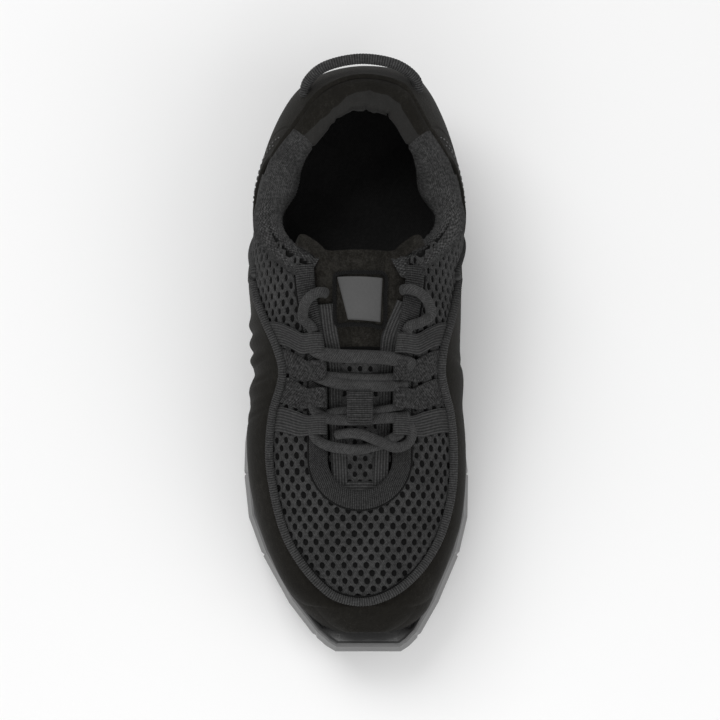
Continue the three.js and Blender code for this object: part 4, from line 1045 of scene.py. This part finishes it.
u = np.concatenate([[-1.0], np.linspace(-1, 1, 220), [1.0]])
v = np.concatenate([[0.0], np.linspace(0, 1, 70), [1.0]])
level = np.outer(inner_only(len(u)), inner_only(len(v)))
uu, vv = np.meshgrid(u, v, indexing="ij")
at = 1 - (1 - counter_front(vv)) * uu**2
swell = 0.5 * bump(vv, 0.6, 0.5) - 0.5 * bump(np.abs(uu), 0.8, 0.015)
swell += 0.25 * np.sin(9 * uu) * bump(vv, 0.4, 0.4)
offset = 0.3 + level * (SUEDE_THICKNESS + swell)
skin = wall_point(at, np.where(uu < 0, -1, 1), counter_height(at, vv), offset)
grid_piece("suede_counter", skin, SUEDE, "suede", skin[..., :2], ["heel_counter"])

# Padded collar
PAD_START = 0.64
pad_u = np.linspace(-1, 1, 420)
pad_at = 1 - (1 - PAD_START) * pad_u**2
pad_edge = collar_height(y_of(pad_at))
pad_full = 0.12 + 0.88 * smooth((1.0 - np.abs(pad_u)) / 0.24)
overhang = 0.8 + 5.6 * smooth((np.abs(pad_u) - 0.76) / 0.16)
side_swell = bump(np.abs(pad_u), 0.74, 0.2) * np.where(pad_u < 0, 3.2, 4.2) + 2.4 * bump(pad_u, 0.0, 0.32)
LOBE_U = 0.035
pad_rise = 0.7 + 1.1 * bump(pad_u, 0.0, 0.45) - 0.5 * bump(pad_u, LOBE_U, 0.03)
pinch = bump(pad_u, LOBE_U, 0.05)
right_lobe = bump(pad_u, 0.24, 0.2)
pad_thick = 10.5 * pad_full * (1 - 0.16 * pinch + 0.2 * right_lobe) + side_swell
PAD_PROFILE = [
    # distance inwards as a share of the thickness, fixed distance, roll, depth
    (0.0, -2.9, -3.5, 0.0), (0.0, -3.2, -1.0, 0.0), (0.0, -2.4, 0.9, 0.0), (0.1, -0.6, 2.2, 0.0),
    (0.38, 0.0, 2.7, 0.0), (0.7, 0.0, 1.4, 0.03), (0.94, 0.0, 0.0, 0.14), (1.0, 0.0, 0.0, 0.3),
    (0.9, 0.0, 0.0, 0.5), (0.62, 0.0, 0.0, 0.7), (0.3, 0.0, 0.0, 0.88), (0.0, 0.0, 0.0, 1.0),
]
profile = spline([(a, b, c) for a, b, c, d in PAD_PROFILE], 5)
depths = spline([(d, 0, 0) for a, b, c, d in PAD_PROFILE], 5)[:, 0]
inset = -WALL - 0.3
cols = []
SEAM_U = 0.53
# Soft folds of the heel lining: place along the pad, lean and depth
PAD_FOLDS = [(-0.4, 0.04, 0.5), (-0.27, -0.05, 0.8), (-0.15, 0.04, 0.5), (0.15, 0.05, 0.6), (0.27, 0.02, 0.8)]
seam = bump(np.abs(pad_u), SEAM_U, 0.012)
SUEDE_COLUMN = 15
suede_reach = 3.4 * bump(pad_u, -0.3, 0.26) + 0.6 * bump(pad_u, 0.28, 0.22)
for column, ((inner, fixed, roll), depth) in enumerate(zip(profile, depths)):
    z = pad_edge + roll * pad_rise * (0.3 + 0.7 * pad_full) - PAD_DEPTH * depth
    wall = wall_point(pad_at, np.where(pad_u < 0, -1, 1), z, inset)
    middle = np.abs(pad_u) < 1e-3
    wall[middle, 0] = 0
    tangent = np.gradient(wall, axis=0)
    tangent[:, 2] = 0
    tangent /= np.linalg.norm(tangent, axis=1)[:, None]
    inward = np.cross(tangent, UP)
    ribs = 0.34 * np.cos(2 * np.pi * arc_length(wall) / 2.1) * (np.abs(pad_u) > SEAM_U) * (inner > 0.02)
    crease = -0.8 * seam * (inner > 0.02)
    folds = sum(depth_in * bump(pad_u - lean * inner, u, 0.05) for u, lean, depth_in in PAD_FOLDS)
    crease = crease - folds * smooth(inner / 0.15) * (np.abs(pad_u) < SEAM_U)
    crease = crease - 0.8 * bump(column, SUEDE_COLUMN, 1.5) * (np.abs(pad_u) < SEAM_U)
    set_in = suede_reach * (1 - inner) * smooth((column - 6) / 8)
    tuck = 1.2 * bump(pad_u, LOBE_U + 0.03, 0.04) * bump(inner, 0.7, 0.6)
    reach = pad_thick * inner + fixed - overhang * smooth(-fixed / 2.4) + set_in + ribs + crease + tuck
    cols.append(wall + inward * reach[:, None])
points = np.stack(cols, 1)
run = arc_length(points[:, 20])
uv = cloth_places(run, np.linspace(0, 60, len(cols)))
faces = grid_faces(len(pad_u), len(cols))
middle_u = pad_u[faces[:, 0] // len(cols)]
over_edge = faces[:, 0] % len(cols) < SUEDE_COLUMN
cloth = np.where(np.abs(middle_u) < SEAM_U, np.where(over_edge, 2, 1), 0)
pad_cloths = [SPACER, MICROFIBRE, SUEDE]
pad = piece("collar_pad", points, faces[:, ::-1], pad_cloths, "lining", uv, ["collar_padding"], cloth)

# Footbed
FOOTBED_ROWS = 120
FOOTBED_COLUMNS = 60
FOOTBED_HEIGHT = 4.0
at = stations(FOOTBED_ROWS, 0.004, 0.996)[:, None]
x = np.linspace(-1, 1, FOOTBED_COLUMNS)[None]
y, centre, half, seat = section(at, inset)[:4]
reach = half * (1 - 0.08)
cup = 1.6 * np.abs(x) ** 4 + 0.25 * bump(x, 0, 0.9)
points = stack(centre + reach * x, y, seat + FOOTBED_HEIGHT + cup)
grid_piece("footbed", points, INSOLE_CLOTH, "insole", points[..., :2], ["insole"])

# Tongue
tongue_half = curve(TONGUE, 1)
tongue_rise = curve(TONGUE, 2)


def tongue_top(x, y, lift=0.0):
    share = np.clip((y - TONGUE_START) / (TONGUE_END - TONGUE_START), 0, 1)
    inset = -(WALL + 0.6)
    out = np.clip(np.abs(x) / (THROAT_HALF_WIDTH - 2 * WALL), 0, 1)
    bulge = (WALL + 0.3) * (1 - out**2) * smooth((y - THROAT_START - THROAT_ROUND) / 12)
    p = top_point(share_of(y, inset), x, inset)
    p[..., 2] += bulge + lift + INSTEP_RISE * tongue_rise(share)
    return p


TONGUE_ROWS = 150
TONGUE_SIDES = 96
SUEDE_STARTS = 0.585
share = np.linspace(0, 1, TONGUE_ROWS)[:, None]
turn = np.linspace(0, 2 * math.pi, TONGUE_SIDES, endpoint=False)[None]
out = -np.cos(turn)
over = np.sin(turn) >= 0
half = BALL_WIDTH * tongue_half(share)
horn = smooth((np.abs(out) - 0.45) / 0.42) - 0.55 * smooth((np.abs(out) - 0.9) / 0.1)
ear = TONGUE_EAR * (horn - 1) * smooth((share - 0.6) / 0.4)
y = TONGUE_START + (TONGUE_END - TONGUE_START) * share + ear
end = np.minimum(1, 0.35 + 4 * np.minimum(share, 1 - share))
thin = TONGUE_THICKNESS * end * (0.28 + 0.72 * np.sqrt(np.clip(1 - out**4, 0, 1)))
crown = 0.8 * (1 - out**2) * smooth((share - 0.62) / 0.1) * smooth((1 - share) / 0.06)
crease = -0.5 * bump(share, 0.93, 0.012) * (np.abs(out) < 0.95) + 0.5 * bump(share, 0.97, 0.03)
lift = np.where(over, crown + crease, -thin)
edge_pull = 1 - 0.03 * (np.abs(np.sin(turn)) < 0.1)
points = tongue_top(half * out * edge_pull, y + 0 * out, lift)
faces = grid_faces(TONGUE_ROWS, TONGUE_SIDES, close_columns=True)
middle_share = (faces[:, 0] // TONGUE_SIDES) / (TONGUE_ROWS - 1)
ends = []
for row in (0, TONGUE_ROWS - 1):
    for j in range(TONGUE_SIDES // 2):
        corners = [j, j + 1, TONGUE_SIDES - j - 1, (TONGUE_SIDES - j) % TONGUE_SIDES]
        ends.append([row * TONGUE_SIDES + corner for corner in (corners if row else corners[::-1])])
ends = [face for face in ends if len(set(face)) == 4]
faces = face_up(points, faces).tolist() + ends
indices = np.concatenate([(middle_share < SUEDE_STARTS).astype(int), np.zeros(len(ends), int)])
tongue_cloths = [TONGUE_SUEDE, UNDERLAY]
tongue = piece("tongue_pad", points, faces, tongue_cloths, "suede", points[..., :2], ["tongue"], indices)

# Tongue mesh, tapes and patch
TONGUE_MESH_ACROSS = 4.6
rings = []
centres = cell_centres(np.arange(-3, 4), np.arange(-66, -4, MESH_ALONG), TONGUE_MESH_ACROSS)
centres = centres[np.abs(centres[:, 0]) < 12]
for shape, height in mesh_cell(1.15, 1.35, 0.5):
    place = centres[:, None] + shape[None] * (TONGUE_MESH_ACROSS / MESH_ACROSS, 1)
    rings.append((tongue_top(place[..., 0], place[..., 1], height), place))
mesh_cloth("tongue_mesh", rings)

# Side tape of the tongue, but for its top: distance from the middle, place along the shoe and height
TAPE = [(8.8, -63.0, 0.9), (9.6, -45.0, 1.1), (10.2, -28.0, 1.1), (10.6, -12.0, 1.1), (11.8, -3.0, 1.2),
        (13.4, 5.0, 1.4)]
tapes = []
for side, top_x, top_y in ((-1, -14.8, 16.5), (1, 19.0, 17.5)):
    rows = [(side * out, y, n) for out, y, n in TAPE]
    route = spline([tongue_top(*row) for row in rows + [(top_x, top_y, 1.8)]], 10)
    tapes.append(band(route, 7.0, 0.9, UP, 0.15, 1.25, along_ribs=True))
route = spline([tongue_top(x, -62.0, 1.4) for x in (-8.0, -4.0, 0.0, 4.0, 8.0)], 6)
tapes.append(band(route, 6.5, 0.8, UP, 0.15, 1.25, along_ribs=True))
made_piece("tongue_tapes", join(tapes), WEBBING, "webbing")


def laid_square(corners, count, lift, crown=0.0):
    """Four-sided panel on the tongue between corners given in plan."""
    a, b, c, d = np.asarray(corners, float)
    s = np.linspace(0, 1, count)[:, None, None]
    t = np.linspace(0, 1, count)[None, :, None]
    flat = a * (1 - s) * (1 - t) + b * s * (1 - t) + c * s * t + d * (1 - s) * t
    edge = np.minimum(np.minimum(s, 1 - s), np.minimum(t, 1 - t))[..., 0]
    return tongue_top(flat[..., 0], flat[..., 1], lift * smooth(edge / 0.03 + 0.15) + crown * (1 - edge))


square = [(-10.2, 28.0), (10.0, 27.6), (9.0, 8.8), (-5.4, 9.6)]
points = laid_square(square, 48, 2.3)
grid_piece("patch_face", points, PATCH, "patch", points[..., :2], ["tongue_patch"])
border = [(-11.0, 29.0), (-3.8, 29.5), (3.8, 29.4), (10.8, 28.8), (11.1, 20.0), (10.4, 7.6), (4.0, 7.4),
          (-4.0, 7.6), (-10.4, 8.2), (-11.2, 18.0), (-11.0, 29.0)]
route = spline([tongue_top(x, y, 1.2) for x, y in border], 8)
made_piece("patch_border", rope(route, 0.9, 0.5, 10, rib=0.25, pitch=0.8), BLACK_THREAD_AND_SHADOW, "patch")


# Lace straps: webbing from the piping to the throat, folded round the lace
RIBBED_STRAPS = (0, 3)


def strap(side, index):
    heel_y = FIRST_STRAP_Y - index * STRAP_PITCH
    width = STRAP_PITCH - STRAP_GAP
    middle = heel_y - width / 2
    fold = LOOP_WIDTH - LOOP_OVERHANG

    def lay(out, u, v, n):
        """out runs from the fold to the piping, u is a distance from the throat, v across the strap."""
        y = middle + v
        swept = y + STRAP_SWEEP * smooth(out) * (1 - index / (2 * STRAP_COUNT))
        end = np.abs(piping_x(swept, side)) - 1.0
        base = throat_half(y) + u
        return on_upper(side * (base + (end - base) * out), swept, n)

    # share of the way to the piping, distance from the throat, and height above the upper
    path = [(1.0, fold, 0.9), (0.8, fold, 1.2), (0.55, fold, 1.3), (0.3, fold, 1.5), (0.12, fold, 2.4),
            (0.0, fold - 0.6, 4.0), (0.0, fold - 2.2, 5.4), (0.0, fold - 4.2, 5.9), (0.0, fold - 6.4, 5.2),
            (0.0, fold - 7.6, 3.6), (0.0, fold - 7.2, 1.9), (0.0, fold - 5.0, 1.2), (0.0, fold - 2.0, 1.0)]
    path = spline(path, 8)
    v = np.linspace(-1, 1, 25)
    edge = np.clip(1 - np.abs(v) ** 10, 0, 1)
    loop_share = LOOP_LENGTH / width * 1.5
    ribbed_strap = index in RIBBED_STRAPS
    rib = 0.16 * np.cos(2 * np.pi * v * width / 2 / 1.25) if ribbed_strap else 0 * v
    outer, inner = [], []
    for out, u, n in path:
        k = smooth(out / 0.35) * (1 - loop_share) + loop_share
        outer.append(lay(out, u, v * width / 2 * k, n + (0.35 + rib) * edge))
        inner.append(lay(out, u, v * width / 2 * k, n - 0.35 * edge))
    outer, inner = np.array(outer), np.array(inner)
    points = np.concatenate([outer, inner[:, ::-1]], 1)
    run = arc_length(outer[:, 12])
    across = np.concatenate([v, v[::-1]]) * width / 2
    uv = cloth_places(run, across)
    faces = grid_faces(len(path), 50, close_columns=True)
    faces = faces if side > 0 else faces[:, ::-1]
    name = f"{'lateral' if side < 0 else 'medial'}_{index + 1}"
    piece("strap_" + name, points, faces, WEBBING if ribbed_strap else SPECKLED, "webbing", uv,
          ["lace_strap_" + name])


for side in (-1, 1):
    for index in range(STRAP_COUNT):
        strap(side, index)

# Laces across the tongue: each row holds a strand's points as x, y and height above the upper
LACES = {
    1: [[(-21.0, -1.7, 3.5), (-18.0, -4.3, 4.2), (-12.0, -5.7, 4.0), (-5.0, -6.1, 3.4), (4.0, -6.3, 3.4),
         (13.0, -6.9, 4.0), (20.0, -8.3, 4.0), (24.0, -9.7, 3.2)]],
    2: [[(-20.5, -13.6, 3.0), (-16.0, -15.8, 3.7), (-9.0, -17.6, 3.5), (0.0, -18.4, 3.2), (10.0, -18.6, 3.5),
         (17.0, -18.0, 3.6), (21.0, -16.2, 3.2)],
        [(-20.0, -12.8, 2.6), (-12.0, -14.0, 1.8), (0.0, -14.8, 1.5), (10.0, -14.8, 1.8),
         (19.5, -13.8, 2.8)]],
    3: [[(-21.0, -24.9, 3.0), (-19.6, -29.1, 3.6), (-15.0, -32.1, 3.6), (-8.0, -32.9, 3.2), (0.0, -32.7, 2.6),
         (10.0, -32.1, 3.2), (17.0, -31.7, 3.4), (22.0, -30.5, 3.2)],
        [(-16.0, -30.1, 1.8), (-9.0, -28.9, 1.8), (0.0, -28.5, 1.2), (9.0, -28.3, 1.8), (19.5, -26.5, 2.8)]],
    4: [[(-20.8, -35.6, 3.0), (-20.0, -40.0, 3.5), (-15.5, -43.4, 3.6), (-9.0, -45.0, 3.2), (0.0, -45.4, 2.4),
         (9.0, -43.2, 2.2), (14.0, -40.8, 2.4), (19.0, -37.6, 2.8)],
        [(-11.5, -39.2, 1.6), (-6.5, -38.6, 2.8), (0.0, -39.0, 4.2), (8.0, -42.0, 4.6), (15.0, -44.6, 4.2),
         (20.5, -43.2, 3.6), (23.0, -38.6, 3.2), (21.5, -34.1, 2.8)]],
}
LACE_SIZES = {
    # width and thickness of each strand
    1: [(6.0, 2.6)], 2: [(4.8, 2.6), (3.6, 2.2)], 3: [(4.8, 2.6), (3.4, 2.2)], 4: [(4.6, 2.6), (4.6, 2.6)],
}
for index, strands in LACES.items():
    parts = []
    for rows, (wide, thick) in zip(strands, LACE_SIZES[index]):
        parts.append(rope(spline([on_upper(*p) for p in rows], 10), wide / 2, thick / 2, 14))
    made_piece(f"lace_row_{index}", join(parts), LACE, "lace", f"lace_crossing_{index}")

# Webbing loop over the middle of the tongue
loop_route = [(-34.6, 0.5), (-34.2, 3.0), (-33.4, 6.2), (-31.5, 8.2), (-28.0, 8.7), (-24.0, 8.0),
              (-21.4, 6.0), (-20.3, 3.0), (-20.0, 0.5)]
route = spline([tongue_top(0.0, y, n) for y, n in loop_route], 12)
middle = route.mean(0)
outwards = route - (middle[0], middle[1], middle[2] - 4)
outwards[:, 0] = 0
loop_band = band(route, 11.4, 1.2, outwards, 0.45, 1.75)
made_piece("tongue_loop", loop_band, RIBBED_KNIT, "webbing", "tongue_lace_loop")

# Pull loop at the heel
half = PULL_LOOP_DIAMETER / 2
pull_cord = rope(spline(PULL_LOOP, 20), half, half, 18, rib=0.03, pitch=1.3)
made_piece("pull_cord", pull_cord, PIPING_KNIT, "webbing", "pull_loop")


# Stitches
def stitches(route, length=2.0, gap=1.2, radius=0.28):
    """A row of short threads along a route."""
    route, s = even(route, 0.25)
    parts = []
    start = 0.3
    while start + length < s[-1]:
        pick = route[(s >= start) & (s <= start + length)]
        parts.append(rope(pick, radius, radius, 6))
        start += length + gap
    return join(parts)


rows = []
for side in (-1, 1):
    for back in (-0.02, -0.035):
        v = np.linspace(0.5, 1, 40)
        at = counter_front(v) - back
        rows.append(stitches(wall_point(at, side, counter_height(at, v), STITCH_HEIGHT)))
made_piece("counter_stitches", join(rows), THREAD, "suede")


# Floor and soft studio light
def floor_material():
    finish = Finish("studio_floor", 0.9)
    finish.colours(finish.noise(3, 2.0), [(0.0, (0.88, 0.88, 0.88, 1)), (1.0, (0.91, 0.91, 0.91, 1))])
    return finish.material


floor_mesh = bpy.data.meshes.new("floor")
floor_mesh.from_pydata([(-4, -4, 0), (4, -4, 0), (4, 4, 0), (-4, 4, 0)], [], [(0, 1, 2, 3)])
floor_mesh.materials.append(floor_material())
floor = bpy.data.objects.new("floor", floor_mesh)
bpy.context.scene.collection.objects.link(floor)

for name, place, size, power in (("key_light", (-500, 700, 1100), 0.9, 9.0),
                                 ("fill_light", (800, -500, 900), 1.1, 5.0),
                                 ("toe_light", (-200, -900, 700), 0.9, 4.0)):
    data = bpy.data.lights.new(name, "AREA")
    data.energy = power
    data.size = size
    look_at(name, data, place, (0, 0, 30))
world = bpy.data.worlds.new("studio")
world.use_nodes = True
world.node_tree.nodes["Background"].inputs[0].default_value = (1, 1, 1, 1)
world.node_tree.nodes["Background"].inputs[1].default_value = 0.45
bpy.context.scene.world = world
bpy.context.scene.view_settings.view_transform = "Standard"
